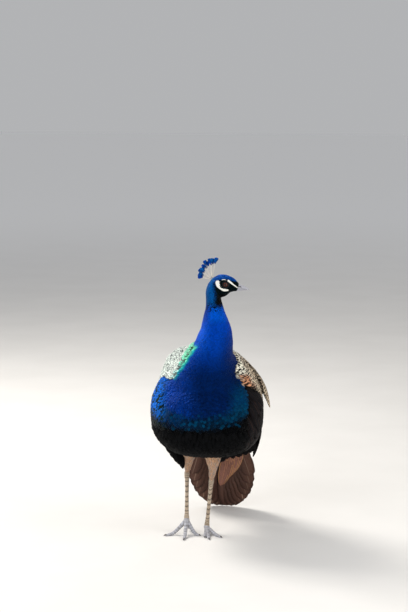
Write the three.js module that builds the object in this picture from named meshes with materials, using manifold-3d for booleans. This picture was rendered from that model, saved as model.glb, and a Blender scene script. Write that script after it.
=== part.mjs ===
// Indian peacock (Pavo cristatus), adult male after the moult of its train, life size.
// Millimetres, +Z up. The breast faces -Y, the bird's left is +X, and its head is turned to its left.
// The origin is on the floor, under the middle of the bird.
import * as THREE from 'three';
import { mergeVertices } from 'three/addons/utils/BufferGeometryUtils.js';
import Module from 'manifold-3d';

const wasm = await Module();
wasm.setup();

// Driving dimensions.
const GAP = 0.35;                    // clearance between neighbouring pieces
const ORIGIN = [2, 97.5];              // floor point under the middle of the bird, in the body's frame

const BODY = { front: -170, rear: 218, centre: 398, side: 160, up: 182, down: 157, belly: 0.77 };
const NECK = { x: 29, y: -70, side: 53, depth: 55 };
const HEAD = { eye: [64, -73, 775], length: 86, side: 20.5, up: 28, down: 32 };
const BILL = { length: 43, drop: 12.5 };
const EYE_RADIUS = 7;
const CREST_LENGTH = 60;
const TAIL = { root: [0, 182, 362], length: 408, pitch: 63.5, feathers: 11, half: 29, spread: [17, 15.5] };
const COAT = { wing: 4.5, mantle: 6 };
const TARSUS = { radius: 6.2, hock: 9.2 };
const TOE_RADIUS = 5.4;

// Where each leg bends, and where the claws of the three front toes and the hind toe end.
const LEGS = {
  right: {
    hip: [-58, -2, 330], knee: [-62, 18, 268], shin: [-67, 40, 222], hock: [-75, 56, 177],
    joint: [-68, 6, 42],
    toes: { outer: [-131, -38], middle: [-63, -80], inner: [-21, -20], hind: [-66, 46] },
    hindHeight: 9,
  },
  left: {
    hip: [22, -42, 330], knee: [18, -26, 268], shin: [14, -2, 215], hock: [5, 22, 164],
    joint: [-9, 22, 19],
    toes: { outer: [47, -33], middle: [12, -62], inner: [-6, -40], hind: [-10, 58] },
    hindHeight: 5,
  },
};

const COLOURS = {
  crown: [0x0a5fae, 0.5, 0.35],
  cobalt: [0x0a4fc4, 0.42, 0.45],
  navy: [0x062a52, 0.5, 0.4],
  breast: [0x063a6e, 0.45, 0.4],
  back: [0x8d9a86, 0.6, 0.1],
  pied: [0xb9b49a, 0.8, 0],
  dark: [0x241d1b, 0.6, 0.05],
  chestnut: [0x8a5234, 0.75, 0],
  tail: [0x4c3d38, 0.8, 0],
  coverts: [0x4a5634, 0.5, 0.35],
  buff: [0xc9ac86, 0.85, 0],
  scute: [0x9b948a, 0.55, 0],
  horn: [0xb5b0a6, 0.45, 0],
  claw: [0x55504a, 0.4, 0],
  eye: [0x1c0f08, 0.08, 0],
  crest: [0x1450c8, 0.5, 0.3],
};

// ---- solids ----

function material([color, roughness, metalness]) {
  return new THREE.MeshStandardMaterial({ color, roughness, metalness });
}

function solid(geometry) {
  const bare = geometry.index ? geometry.toNonIndexed() : geometry.clone();
  bare.deleteAttribute('normal');
  bare.deleteAttribute('uv');
  const merged = mergeVertices(bare, 1e-4);
  return new wasm.Manifold(new wasm.Mesh({
    numProp: 3,
    vertProperties: new Float32Array(merged.attributes.position.array),
    triVerts: new Uint32Array(merged.index.array),
  }));
}

function join(pieces) {
  return pieces.reduce((whole, piece) => whole.add(piece));
}

function cut(body, ...tools) {
  return tools.reduce((rest, tool) => rest.subtract(tool), body);
}

function box(from, to) {
  const size = to.map((value, axis) => value - from[axis]);
  const geometry = new THREE.BoxGeometry(...size);
  geometry.translate(...from.map((value, axis) => value + size[axis] / 2));
  return solid(geometry);
}

function ball(centre, radii, detail = 14) {
  const geometry = new THREE.SphereGeometry(1, detail, Math.round(detail * 0.7));
  geometry.scale(...radii);
  geometry.translate(...centre);
  return solid(geometry);
}

// A closed round body along a smooth line. Each station is [x, y, z, side, up, down]: a centre and
// three half sizes. `side` is the direction of the first half size; `up` is square to it and the line.
// The squares of the sizes are blended, so a body whose end sizes are nought ends in a dome. `flat` under
// 1 squares the lower half of each ring.
function loft(stations, { side = [1, 0, 0], ring = 20, rows = 18, grow = 0, flat = 1 } = {}) {
  const path = new THREE.CatmullRomCurve3(stations.map(([x, y, z]) => new THREE.Vector3(x, y, z)));
  const sizes = new THREE.CatmullRomCurve3(stations.map(([, , , a, b, c]) =>
    new THREE.Vector3(a * a, b * b, c * c)), false, 'catmullrom', 0.5);
  const points = [];
  const start = path.getPoint(0);
  const end = path.getPoint(1);
  for (let row = 1; row < rows; row += 1) {
    const u = (1 - Math.cos((Math.PI * row) / rows)) / 2 * 0.45 + (row / rows) * 0.55;
    const centre = path.getPoint(u);
    const along = path.getTangent(u);
    const across = new THREE.Vector3(...side).addScaledVector(along, -along.dot(new THREE.Vector3(...side)));
    across.normalize();
    const over = new THREE.Vector3().crossVectors(across, along);
    const square = sizes.getPoint(u);
    const [a, b, c] = square.toArray().map((value) => Math.sqrt(Math.max(value, 0.04)) + grow);
    for (let step = 0; step < ring; step += 1) {
      const angle = (2 * Math.PI * step) / ring;
      const rise = Math.sin(angle);
      const reach = Math.cos(angle);
      const power = rise < -1e-6 ? flat : 1;
      points.push(centre.clone()
        .addScaledVector(across, a * Math.sign(reach) * Math.abs(reach) ** power)
        .addScaledVector(over, (rise > 0 ? b : c) * Math.sign(rise) * Math.abs(rise) ** power));
    }
  }
  const first = points.length;
  const towards = path.getTangent(0).multiplyScalar(-grow);
  points.push(start.clone().add(towards), end.clone().addScaledVector(path.getTangent(1), grow));
  const faces = [];
  for (let row = 0; row < rows - 2; row += 1) {
    for (let step = 0; step < ring; step += 1) {
      const next = (step + 1) % ring;
      const a = row * ring + step;
      const b = row * ring + next;
      faces.push([a, a + ring, b], [b, a + ring, b + ring]);
    }
  }
  for (let step = 0; step < ring; step += 1) {
    const next = (step + 1) % ring;
    const last = (rows - 2) * ring;
    faces.push([first, step, next], [first + 1, last + next, last + step]);
  }
  const positions = faces.flatMap((face) => face.flatMap((index) => points[index].toArray()));
  const geometry = new THREE.BufferGeometry();
  geometry.setAttribute('position', new THREE.BufferAttribute(new Float32Array(positions), 3));
  return outward(solid(geometry), geometry);
}

// Turns a body's faces over if they point in.
function outward(body, geometry) {
  if (body.volume() > 0) {
    return body;
  }
  const array = geometry.attributes.position.array;
  for (let i = 0; i < array.length; i += 9) {
    for (let k = 0; k < 3; k += 1) {
      [array[i + 3 + k], array[i + 6 + k]] = [array[i + 6 + k], array[i + 3 + k]];
    }
  }
  return solid(geometry);
}

// A prism over an outline in the YZ plane, from x = from to x = to.
function slab(outline, from, to) {
  const shape = new THREE.Shape(outline.map(([y, z]) => new THREE.Vector2(y, z)));
  const geometry = new THREE.ExtrudeGeometry(shape, { depth: to - from, bevelEnabled: false });
  geometry.applyMatrix4(new THREE.Matrix4().makeBasis(
    new THREE.Vector3(0, 1, 0), new THREE.Vector3(0, 0, 1), new THREE.Vector3(1, 0, 0)));
  geometry.translate(from, 0, 0);
  return solid(geometry);
}

// One flat feather from root to tip with a rounded end. `face` is the direction that its vane faces.
function feather(root, tip, face, half, { thick = 1.3, bend = 0, grow = 0, rows = 6, blunt = 0.72 } = {}) {
  const from = new THREE.Vector3(...root);
  const to = new THREE.Vector3(...tip);
  const along = to.clone().sub(from);
  const across = new THREE.Vector3().crossVectors(along, new THREE.Vector3(...face)).normalize();
  const normal = new THREE.Vector3().crossVectors(across, along).normalize();
  const profile = [[0, 0.32], [0.25, 0.78], [0.55, 1], [0.82, blunt + 0.2], [0.95, blunt * 0.72], [1, 0.02]];
  const stations = profile.map(([t, width]) => {
    const sag = bend * 4 * t * (1 - t);
    const at = from.clone().addScaledVector(along, t).addScaledVector(normal, sag);
    const depth = thick * (1 - 0.45 * t);
    return [...at.toArray(), half * width, depth, depth];
  });
  return loft(stations, { side: across.toArray(), ring: 6, rows, grow });
}

// ---- body ----

// Each row of the trunk: share of the length, drop of the centre, and shares of the half sizes.
const TRUNK_FORM = [
  [0, 6, 0, 0, 0], [0.055, 6, 0.58, 0.4, 0.47], [0.155, 10, 0.87, 0.69, 0.74], [0.31, 9, 1.045, 0.87, 0.885],
  [0.475, 0, 0.975, 1, 0.99], [0.64, 4, 0.925, 0.89, 0.96], [0.79, 24, 0.76, 0.64, 0.76],
  [0.905, 46, 0.54, 0.4, 0.5], [0.97, 60, 0.3, 0.22, 0.29], [1, 66, 0, 0, 0],
];

function trunkBody(grow = 0) {
  return loft(TRUNK_FORM.map(([t, drop, side, up, down]) => [
    0, BODY.front + t * (BODY.rear - BODY.front), BODY.centre - drop,
    side * BODY.side, up * BODY.up, down * BODY.down,
  ]), { ring: 26, rows: 17, grow, flat: BODY.belly });
}

// The neck rises from the breast, leans to the bird's left and narrows towards the head.
const NECK_FORM = [
  [-29, 20, 430, 2.3, 1.9, 1.2], [-28, 20, 475, 2.15, 1.75, 1.3], [-21, 19, 520, 1.78, 1.55, 1.35],
  [-13, 15, 558, 1.33, 1.36, 1.25], [-5, 11, 585, 1.1, 1.18, 1.07], [0, 8, 610, 1, 1, 0.92],
  [3, 4, 634, 0.885, 0.86, 0.8], [2, 1, 657, 0.76, 0.74, 0.7], [0.5, -1, 680, 0.625, 0.62, 0.62],
  [-0.5, -2, 703, 0.495, 0.51, 0.55], [-3, -3, 728, 0.42, 0.46, 0.52], [-3, -3, 752, 0.42, 0.43, 0.45],
  [0, -3, 768, 0.37, 0.38, 0.38], [4, -3, 782, 0.22, 0.25, 0.25], [5, -3, 789, 0, 0, 0],
];

function neckBody(grow = 0) {
  return loft(NECK_FORM.map(([x, y, z, side, front, back]) => [
    NECK.x + x, NECK.y + y, z, side * NECK.side, front * NECK.depth, back * NECK.depth,
  ]), { ring: 20, rows: 18, grow });
}

// Rows from the nape to the foot of the bill: place ahead of the eye, drop, side, up and down.
const HEAD_FORM = [
  [-51, 6, 0, 0, 0], [-45.5, 5, 0.55, 0.45, 0.5], [-34, 3, 0.83, 0.78, 0.86], [-20, 2, 0.98, 1.02, 1.15],
  [-4, 1.5, 1, 1.02, 1.1], [12, 3, 0.83, 0.84, 0.8], [24, 6.5, 0.62, 0.62, 0.5], [33, 9, 0.43, 0.4, 0.36],
  [38, 10.5, 0, 0, 0],
];

function headBody(grow = 0) {
  const [x, y, z] = HEAD.eye;
  return loft(HEAD_FORM.map(([ahead, drop, side, up, down]) => [
    x + ahead, y, z - drop, side * HEAD.side, up * HEAD.up, down * HEAD.down,
  ]), { side: [0, -1, 0], ring: 18, rows: 13, grow });
}

// The bill is two halves that meet along the line of the mouth. Each row: share of the length, drop of
// the mouth line, half width and height of the half.
const UPPER_BILL = [[-0.12, 0, 0, 0], [0, 0, 8.2, 15], [0.3, 0, 6.5, 12.4], [0.6, 0.4, 4.7, 8.6],
  [0.83, 1.6, 3, 4.9], [0.95, 3, 1.5, 2.3], [1, 4.6, 0, 0]];
const LOWER_BILL = [[-0.1, 0, 0, 0], [0, 0, 6.6, 6.6], [0.3, 0, 5.3, 5.4], [0.6, 0.4, 3.6, 4],
  [0.8, 1.2, 2, 2.4], [0.87, 1.8, 0, 0]];
const BILL_LIP = 0.5;                // rounding of each half along the mouth line

function billHalf(lower, grow = 0) {
  const [x, y, z] = HEAD.eye;
  const step = lower ? 2 * BILL_LIP + GAP : 0;
  return loft((lower ? LOWER_BILL : UPPER_BILL).map(([t, drop, side, height]) => [
    x + 24 + t * BILL.length, y, z - BILL.drop - drop - step, side,
    lower ? Math.min(height, BILL_LIP) : height, lower ? height : Math.min(height, BILL_LIP),
  ]), { side: [0, -1, 0], ring: 10, rows: 9, grow });
}

function eyeBall(sign, grow = 0) {
  const [x, y, z] = HEAD.eye;
  const radius = EYE_RADIUS + grow;
  return ball([x, y + sign * (HEAD.side - 4.6), z], [radius, radius, radius], 12);
}

// The knob on the hind crown that the crest grows from.
function crestRoot(grow = 0) {
  const [x, y, z] = HEAD.eye;
  return ball([x - 41, y, z + 14], [9 + grow, 3.6 + grow, 7 + grow], 10);
}

// Fan of fine shafts, each with a round blue vane at its end, in the head's middle plane.
function crestBody(grow = 0) {
  const [x, y, z] = HEAD.eye;
  const fan = [[-70, 0.68], [-55, 0.78], [-40, 0.86], [-25, 0.98], [-11, 1.02], [5, 0.96]];
  const pieces = [crestRoot(grow)];
  fan.forEach(([lean, share], index) => {
    const angle = THREE.MathUtils.degToRad(lean);
    const length = CREST_LENGTH * share;
    const offset = (index % 2 ? 1 : -1) * 3;
    const root = [x - 41 + 3 * Math.sin(angle), y, z + 13];
    const reach = (share_) => [
      root[0] + length * share_ * Math.sin(angle), y + offset * share_,
      root[2] + length * share_ * Math.cos(angle),
    ];
    pieces.push(loft([[...root, 1, 1, 1], [...reach(0.5), 0.8, 0.8, 0.8], [...reach(0.86), 0.8, 0.8, 0.8],
      [...reach(0.9), 0, 0, 0]], { side: [0, 1, 0], ring: 5, rows: 4, grow }));
    const vane = { thick: 1.3, grow, rows: 5, blunt: 0.85 };
    pieces.push(feather(reach(0.68), reach(1.02), [0, 1, 0], 7.4, vane));
  });
  return join(pieces);
}

// ---- wings and back ----

const WING_OUTLINE = [[-58, 430], [-42, 490], [-8, 528], [50, 526], [110, 484], [158, 424], [174, 382],
  [152, 320], [104, 270], [54, 246], [10, 262], [-24, 302], [-50, 365]];

function wingShell(sign, grow = 0) {
  const near = 62;
  const far = 230;
  const prism = sign > 0 ? slab(WING_OUTLINE, near, far) : slab(WING_OUTLINE, -far, -near);
  return trunkBody(COAT.wing + grow).intersect(prism);
}

// The feathers over the right shoulder stand fuller than those over the left.
const SHOULDER = { at: [-68, 25, 485], radii: [72, 95, 84], floor: 478 };
const MANTLE_OUTLINE = [[-20, 470], [-28, 640], [120, 640], [196, 470], [190, 420], [150, 470], [60, 520]];

// The back's scaly feathers lie between the wings, from the neck to the rump.
function mantleShell(grow = 0) {
  const prism = slab(MANTLE_OUTLINE, -135, 135);
  const above = box([-300, -300, SHOULDER.floor - grow], [300, 300, 700]);
  const shoulder = ball(SHOULDER.at, SHOULDER.radii.map((radius) => radius + grow), 22);
  return join([trunkBody(COAT.mantle + grow).intersect(prism), shoulder.intersect(above)]);
}

// A row of overlapping flight feathers whose roots and tips run between two pairs of points. `outside`
// points roughly to the side that the row's feathers show.
function feathers(count, roots, tips, outside, half, options = {}) {
  const [rootA, rootB, tipA, tipB] = [...roots, ...tips].map((point) => new THREE.Vector3(...point));
  const along = tipA.clone().add(tipB).sub(rootA).sub(rootB);
  const across = rootB.clone().sub(rootA).add(tipB).sub(tipA);
  const face = new THREE.Vector3().crossVectors(along, across).normalize();
  face.multiplyScalar(Math.sign(face.dot(new THREE.Vector3(...outside))));
  const pieces = [];
  for (let index = 0; index < count; index += 1) {
    const t = index / (count - 1);
    const lift = face.clone().multiplyScalar((index - count / 2) * (options.stack ?? 0.5));
    const root = rootA.clone().lerp(rootB, t).add(lift);
    const tip = tipA.clone().lerp(tipB, t).add(lift);
    pieces.push(feather(root.toArray(), tip.toArray(), face.toArray(), half, options));
  }
  return join(pieces);
}

function steps(count) {
  return Array.from({ length: count }, (_, index) => index);
}

function mirrored(point, sign) {
  return [point[0] * sign, point[1], point[2]];
}

// Dark secondaries hang from the wing's coverts along the flank.
function secondaries(sign, grow = 0) {
  const ends = (pair) => pair.map((point) => mirrored(point, sign));
  const drop = sign > 0 ? 0 : 34;
  return feathers(5, ends([[136, 96, 430], [155, 6, 348]]),
    ends([[94, 228, 262 + drop], [116, 122, 222 + drop]]),
    mirrored([0.9, 0.32, -0.2], sign), 27, { thick: 1.6, stack: 0.6, grow, bend: 11 });
}

// The left wing droops, so its primaries cross below the tail's root; the right wing is held higher.
function primaries(sign, grow = 0) {
  const form = { thick: 1.4, stack: 0.5, grow, bend: 5 };
  if (sign > 0) {
    return feathers(5, [[112, 78, 262], [104, 96, 240]], [[46, 182, 172], [20, 176, 130]],
      [0.66, -0.55, -0.5], 18, form);
  }
  return feathers(5, [[-112, 104, 296], [-106, 118, 278]], [[-58, 236, 232], [-52, 222, 196]],
    [-0.7, 0.2, -0.6], 17, form);
}

// Loose scapular feathers stand off the left shoulder.
function scapulars(sign, grow = 0) {
  const ends = (pair) => pair.map((point) => mirrored(point, sign));
  const stand = sign > 0 ? 8 : 0;
  return feathers(4, ends([[114, 12, 536], [142, 46, 480]]),
    ends([[148 + stand, 116, 424], [162 + stand, 96, 380]]),
    mirrored([0.88, 0.2, 0.42], sign), 19, { thick: 2, stack: 0.6, grow, bend: 9 });
}

// ---- tail ----

// Graduated fan: the middle feathers are the longest and rest on the floor.
function tailFan(grow = 0) {
  const pitch = THREE.MathUtils.degToRad(TAIL.pitch);
  const pieces = [];
  for (let index = 0; index < TAIL.feathers; index += 1) {
    const t = (2 * index) / (TAIL.feathers - 1) - 1;
    const spread = THREE.MathUtils.degToRad(t * (t > 0 ? TAIL.spread[1] : TAIL.spread[0]));
    const length = TAIL.length * (1 - 0.34 * Math.abs(t) ** 2.2);
    const side = Math.sin(spread) * length;
    const down = Math.cos(spread) * length;
    const root = [TAIL.root[0] + t * 17, TAIL.root[1] - Math.abs(t) * 3, TAIL.root[2] - 4 * Math.abs(t)];
    const fold = -16 * t * t;
    const tip = [
      root[0] + side - 5 * (1 - t * t), root[1] + down * Math.cos(pitch) + fold * Math.sin(pitch) + 2,
      root[2] - down * Math.sin(pitch) + fold * Math.cos(pitch),
    ];
    pieces.push(feather(root, tip, [0, -1, -0.5], TAIL.half, { thick: 2.6, bend: -8, grow }));
  }
  const rump = [TAIL.root[0], TAIL.root[1] + 2, TAIL.root[2] - 2];
  pieces.push(ball(rump, [34 + grow, 13 + grow, 26 + grow], 10));
  return join(pieces);
}

// Short bronze coverts lie over the root of the tail in two rows: how many, length, spread and lift.
const COVERT_ROWS = [[5, 216, 26, 0], [3, 150, 30, 3.5]];

function tailCoverts(grow = 0) {
  const [x, y, z] = TAIL.root;
  const pieces = COVERT_ROWS.flatMap(([count, length, spread, lift]) => steps(count).map((index) => {
    const t = (2 * index) / (count - 1) - 1;
    const root = [x + t * spread, y + 8 + lift - 6 * t * t, z + 62 - 12 * t * t];
    const fall = 0.945 * length * (1 - 0.14 * t * t);
    const tip = [root[0] + t * 30, root[1] + 0.324 * length - 7 * t * t, root[2] - fall];
    return feather(root, tip, [0, -1, -0.5], 28, { thick: 2.6, bend: -12, grow });
  }));
  const base = { thick: 6, bend: -10, grow };
  pieces.push(feather([x, y + 8, z + 58], [x, y + 60, z - 94], [0, -1, -0.5], 62, base));
  return join(pieces);
}

// ---- legs ----

function thigh(leg, grow = 0) {
  return loft([
    [...leg.hip, 0, 0, 0], [...leg.hip.map((v, i) => v + (leg.knee[i] - v) * 0.25), 36, 44, 44],
    [...leg.knee, 30, 34, 34], [...leg.shin, 15.5, 19, 19],
    [...leg.hock.map((v, i) => v + (leg.shin[i] - v) * 0.3), 9.4, 10.5, 10.5],
    [...leg.hock.map((v, i) => v + (leg.shin[i] - v) * 0.05), 0, 0, 0],
  ], { ring: 14, rows: 9, grow });
}

function shank(leg, grow = 0) {
  const mix = (t) => leg.hock.map((value, axis) => value + (leg.joint[axis] - value) * t);
  const up = leg.hock.map((value, axis) => value + (leg.shin[axis] - value) * 0.3);
  const r = TARSUS.radius;
  return loft([
    [...up, 0, 0, 0], [...leg.hock, TARSUS.hock * 0.86, TARSUS.hock, TARSUS.hock + 1.5],
    [...mix(0.12), r * 1.02, r * 1.25, r * 1.25], [...mix(0.5), r * 0.88, r, r], [...mix(0.85), r, r, r],
    [...mix(0.97), r * 1.25, r * 1.1, r * 1.1], [...mix(1.04), 0, 0, 0],
  ], { ring: 10, rows: 9, grow });
}

// Points of a toe: down from the joint, then along the floor to where its claw starts.
function toeRoute(leg, name) {
  const [x, y, z] = leg.joint;
  const [tx, ty] = leg.toes[name];
  const hind = name === 'hind';
  const r = TOE_RADIUS;
  const low = hind ? leg.hindHeight : r * 0.55;
  const start = hind ? [x, y + 4, z + 9] : [x, y, z];
  return [0, 0.3, 0.58, 0.8, 0.9].map((t) => [
    start[0] + (tx - start[0]) * t, start[1] + (ty - start[1]) * t,
    low + (start[2] - low) * Math.max(0, 1 - t / 0.68) ** 1.25 + (hind ? 0 : r * 0.22 * (1 - t)),
  ]);
}

function toe(leg, name, grow = 0) {
  const route = toeRoute(leg, name);
  const r = TOE_RADIUS * (name === 'hind' ? 0.72 : 1);
  const radii = [r * 1.25, r * 1.05, r * 0.98, r * 0.82, r * 0.55];
  const stations = route.map((at, index) => [...at, radii[index], radii[index], radii[index] * 0.8]);
  const from = stations[0];
  stations.unshift([from[0], from[1] + 3, from[2] + 1, 0, 0, 0]);
  const last = stations.at(-1);
  const before = stations.at(-2);
  stations.push([...[0, 1, 2].map((axis) => last[axis] + (last[axis] - before[axis]) * 0.35), 0, 0, 0]);
  return loft(stations, { side: [1, 0.2, 0], ring: 7, rows: 8, grow });
}

// The round pad where the toes meet below the shank.
function pad(leg, grow = 0) {
  const r = TOE_RADIUS * 1.75 + grow;
  return ball(leg.joint, [r * 0.92, r, r * 0.9], 8);
}

function claw(leg, name, grow = 0) {
  const route = toeRoute(leg, name);
  const [x, y] = leg.toes[name];
  const from = route.at(-1);
  const scale = name === 'hind' ? 0.9 : 1;
  const reach = name === 'hind' ? 1.75 : 1;
  const mix = (t) => [from[0] + (x - from[0]) * t * reach, from[1] + (y - from[1]) * t * reach];
  return loft([
    [...mix(-0.35), from[2] + 1.2, 0, 0, 0],
    [...mix(-0.1), from[2] + 1.2, 2.5 * scale, 2.4 * scale, 2.3 * scale],
    [...mix(0.45), from[2] + 0.6, 1.8 * scale, 1.7 * scale, 1.6 * scale],
    [...mix(0.85), from[2] - 0.9, scale, 0.9 * scale, 0.8 * scale],
    [...mix(1.05), from[2] - 1.8, 0, 0, 0],
  ], { side: [1, 0.2, 0], ring: 6, rows: 6, grow });
}

function spur(leg, grow = 0) {
  const [x, y, z] = leg.hock.map((value, axis) => value + (leg.joint[axis] - value) * 0.66);
  return loft([
    [x - 1, y + 3, z, 0, 0, 0], [x - 1, y + 5, z, 3.6, 4.2, 4.2], [x - 1.5, y + 13, z + 2, 2.4, 2.7, 2.7],
    [x - 2, y + 20, z + 5.5, 1, 1.1, 1.1], [x - 2, y + 24, z + 8.5, 0, 0, 0],
  ], { ring: 6, rows: 5, grow });
}

// ---- assembly ----

const bird = new THREE.Group();
bird.position.set(-ORIGIN[0], -ORIGIN[1], 0);

const aboveFloor = box([-500, -500, 0], [500, 700, 1200]);

function place(name, body, colours) {
  const pieces = body.decompose().sort((a, b) => b.volume() - a.volume());
  if (pieces.length > 1 && pieces[1].volume() > 0.04 * pieces[0].volume()) {
    throw new Error(`${name} falls into pieces: ${pieces.map((piece) => piece.volume().toFixed(1))}`);
  }
  const mesh = pieces[0].getMesh();
  const geometry = new THREE.BufferGeometry();
  const stride = mesh.numProp;
  const positions = new Float32Array((mesh.vertProperties.length / stride) * 3);
  for (let index = 0; index < positions.length / 3; index += 1) {
    positions.set(mesh.vertProperties.subarray(index * stride, index * stride + 3), index * 3);
  }
  geometry.setAttribute('position', new THREE.BufferAttribute(positions, 3));
  geometry.setIndex(new THREE.BufferAttribute(new Uint32Array(mesh.triVerts), 1));
  geometry.computeVertexNormals();
  const part = new THREE.Mesh(geometry, material(colours));
  part.name = name;
  bird.add(part);
}

const SIDES = { left: 1, right: -1 };
const COLLAR = 708;                  // height where the upper neck starts
const NECK_BASE = 566;               // height where the lower neck leaves the trunk
const HEAD_PLANE = 737;              // height where the head leaves the neck

const headCap = join([headBody(), neckBody().intersect(box([-200, -300, HEAD_PLANE], [200, 200, 800]))]);
place('head', cut(headCap, billHalf(false, GAP), billHalf(true, GAP), eyeBall(1, GAP), eyeBall(-1, GAP),
  crestRoot(GAP), box([-200, -300, HEAD_PLANE - 60], [200, 200, HEAD_PLANE])), COLOURS.crown);
place('bill_upper', billHalf(false), COLOURS.horn);
place('bill_lower', cut(billHalf(true), billHalf(false, GAP)), COLOURS.horn);
place('eye_left', eyeBall(1), COLOURS.eye);
place('eye_right', eyeBall(-1), COLOURS.eye);
place('crest', crestBody(), COLOURS.crest);

const neck = neckBody();
const headShadow = cut(headBody(GAP), box([-200, -300, HEAD_PLANE - GAP - 60], [200, 200, HEAD_PLANE - GAP]));
const upperNeckRoom = box([-200, -300, COLLAR + GAP], [200, 200, HEAD_PLANE - GAP]);
place('neck_upper', cut(neck.intersect(upperNeckRoom), headShadow), COLOURS.navy);
place('neck_lower', neck.intersect(box([-300, -300, NECK_BASE], [300, 300, COLLAR])), COLOURS.cobalt);

const shoulders = neck.intersect(box([-300, -300, 300], [300, 300, NECK_BASE - GAP]));
const neckGrown = neckBody(GAP);
const collarRoom = neckGrown.intersect(box([-300, -300, NECK_BASE - GAP], [300, 300, 800]));
place('trunk', join([cut(trunkBody(), collarRoom), shoulders]), COLOURS.breast);

const trunkGrown = trunkBody(GAP);
place('mantle', cut(mantleShell(), trunkGrown, neckGrown), COLOURS.back);
Object.entries(SIDES).forEach(([side, sign]) => {
  const shell = cut(wingShell(sign), trunkGrown, neckGrown, mantleShell(GAP));
  place(`wing_${side}`, shell, COLOURS.pied);
  const blades = cut(secondaries(sign), trunkGrown, wingShell(sign, GAP), tailFan(GAP));
  place(`secondaries_${side}`, blades, COLOURS.dark);
  place(`primaries_${side}`, cut(primaries(sign), trunkGrown, wingShell(sign, GAP), secondaries(sign, GAP),
    tailFan(GAP)), COLOURS.chestnut);
  place(`scapulars_${side}`, cut(scapulars(sign), trunkGrown, wingShell(sign, GAP), mantleShell(GAP),
    neckGrown, secondaries(sign, GAP)), COLOURS.pied);
});
place('tail', cut(tailFan(), trunkGrown).intersect(aboveFloor), COLOURS.tail);
place('tail_coverts', cut(tailCoverts(), trunkGrown, tailFan(GAP), mantleShell(GAP), wingShell(1, GAP),
  wingShell(-1, GAP), secondaries(1, GAP), secondaries(-1, GAP)), COLOURS.coverts);

Object.entries(LEGS).forEach(([side, leg]) => {
  const toes = Object.keys(leg.toes);
  const claws = Object.fromEntries(toes.map((name) => [name, claw(leg, name)]));
  const thighBody = cut(thigh(leg), trunkGrown, shank(leg, GAP), wingShell(SIDES[side], GAP));
  place(`thigh_${side}`, thighBody, COLOURS.buff);
  const shankBody = cut(shank(leg), spur(leg, GAP), pad(leg, GAP), toe(leg, 'hind', GAP));
  place(`shank_${side}`, shankBody, COLOURS.scute);
  place(`spur_${side}`, spur(leg), COLOURS.horn);
  const foot = join([pad(leg), ...toes.map((name) => toe(leg, name))]).intersect(aboveFloor);
  const clawRoom = toes.map((name) => claw(leg, name, GAP));
  place(`foot_${side}`, cut(foot, cut(shank(leg, GAP), pad(leg)), ...clawRoom), COLOURS.scute);
  toes.forEach((name) => place(`claw_${name}_${side}`, claws[name].intersect(aboveFloor), COLOURS.claw));
});

const model = new THREE.Group();
model.add(bird);

export default model;
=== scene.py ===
"""A life-size museum model of an adult male Indian peacock, standing, after the moult of its train.

Sizes are in millimetres in the bird's own frame (+X its left, -Y ahead of its breast, +Z up) and every
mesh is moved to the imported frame, in metres, when it is made.
"""

from __future__ import annotations

import logging
import math
from dataclasses import dataclass, field
from enum import Enum
from typing import Callable, Sequence

import bpy
import numpy as np
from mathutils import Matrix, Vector

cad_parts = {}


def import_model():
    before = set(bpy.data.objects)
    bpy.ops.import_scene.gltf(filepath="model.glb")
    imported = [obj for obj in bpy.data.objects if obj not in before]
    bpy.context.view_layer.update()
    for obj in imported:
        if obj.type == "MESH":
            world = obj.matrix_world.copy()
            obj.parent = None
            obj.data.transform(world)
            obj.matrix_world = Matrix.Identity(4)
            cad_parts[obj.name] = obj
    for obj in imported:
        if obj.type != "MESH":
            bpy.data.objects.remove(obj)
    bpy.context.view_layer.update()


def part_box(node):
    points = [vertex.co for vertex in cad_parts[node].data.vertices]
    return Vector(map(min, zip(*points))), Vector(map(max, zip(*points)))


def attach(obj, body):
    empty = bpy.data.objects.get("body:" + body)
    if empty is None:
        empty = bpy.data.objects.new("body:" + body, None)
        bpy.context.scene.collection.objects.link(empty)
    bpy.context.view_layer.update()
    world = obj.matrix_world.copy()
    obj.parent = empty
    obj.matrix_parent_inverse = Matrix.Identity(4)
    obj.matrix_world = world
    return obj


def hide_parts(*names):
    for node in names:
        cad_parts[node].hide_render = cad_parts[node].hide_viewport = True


Array = np.ndarray
Colour = tuple[float, float, float]
Row = tuple[float, ...]
Field = Callable[[Array], Array]            # a number, or a way, for each of some places

log = logging.getLogger("peacock")

MM = 0.001
SEED = 7
EYE = np.array([64.0, -73.0, 775.0])        # midpoint between the eyes
EYE_APART = 15.9                             # each eye's centre from that midpoint
SWEPT = 0.8                                 # share of the skin's map, from its foot, for the swept surface
CELL_FROM, CELL_TALL, CELL_GAP = 0.82, 0.17, 0.03       # the cells of the skin's other parts above it


class Side(Enum):
    """The bird's left or right."""

    LEFT = 1
    RIGHT = -1

    @property
    def tag(self) -> str:
        """The side's name as node names end."""
        return self.name.lower()


# ---- arrays ----


def unit(vectors: Array) -> Array:
    """Vectors scaled to length one."""
    return vectors / np.maximum(np.linalg.norm(vectors, axis=-1, keepdims=True), 1e-9)


def ease(values: Array, low: float, high: float) -> Array:
    """Smooth step from 0 at low to 1 at high."""
    t = np.clip((values - low) / (high - low), 0.0, 1.0)
    return t * t * (3.0 - 2.0 * t)


def lerp(a: Array, b: Array, t: Array) -> Array:
    """Straight blend from a to b, with t spread over the last axis."""
    weight = np.asarray(t)[..., None]
    return a * (1.0 - weight) + b * weight


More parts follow.
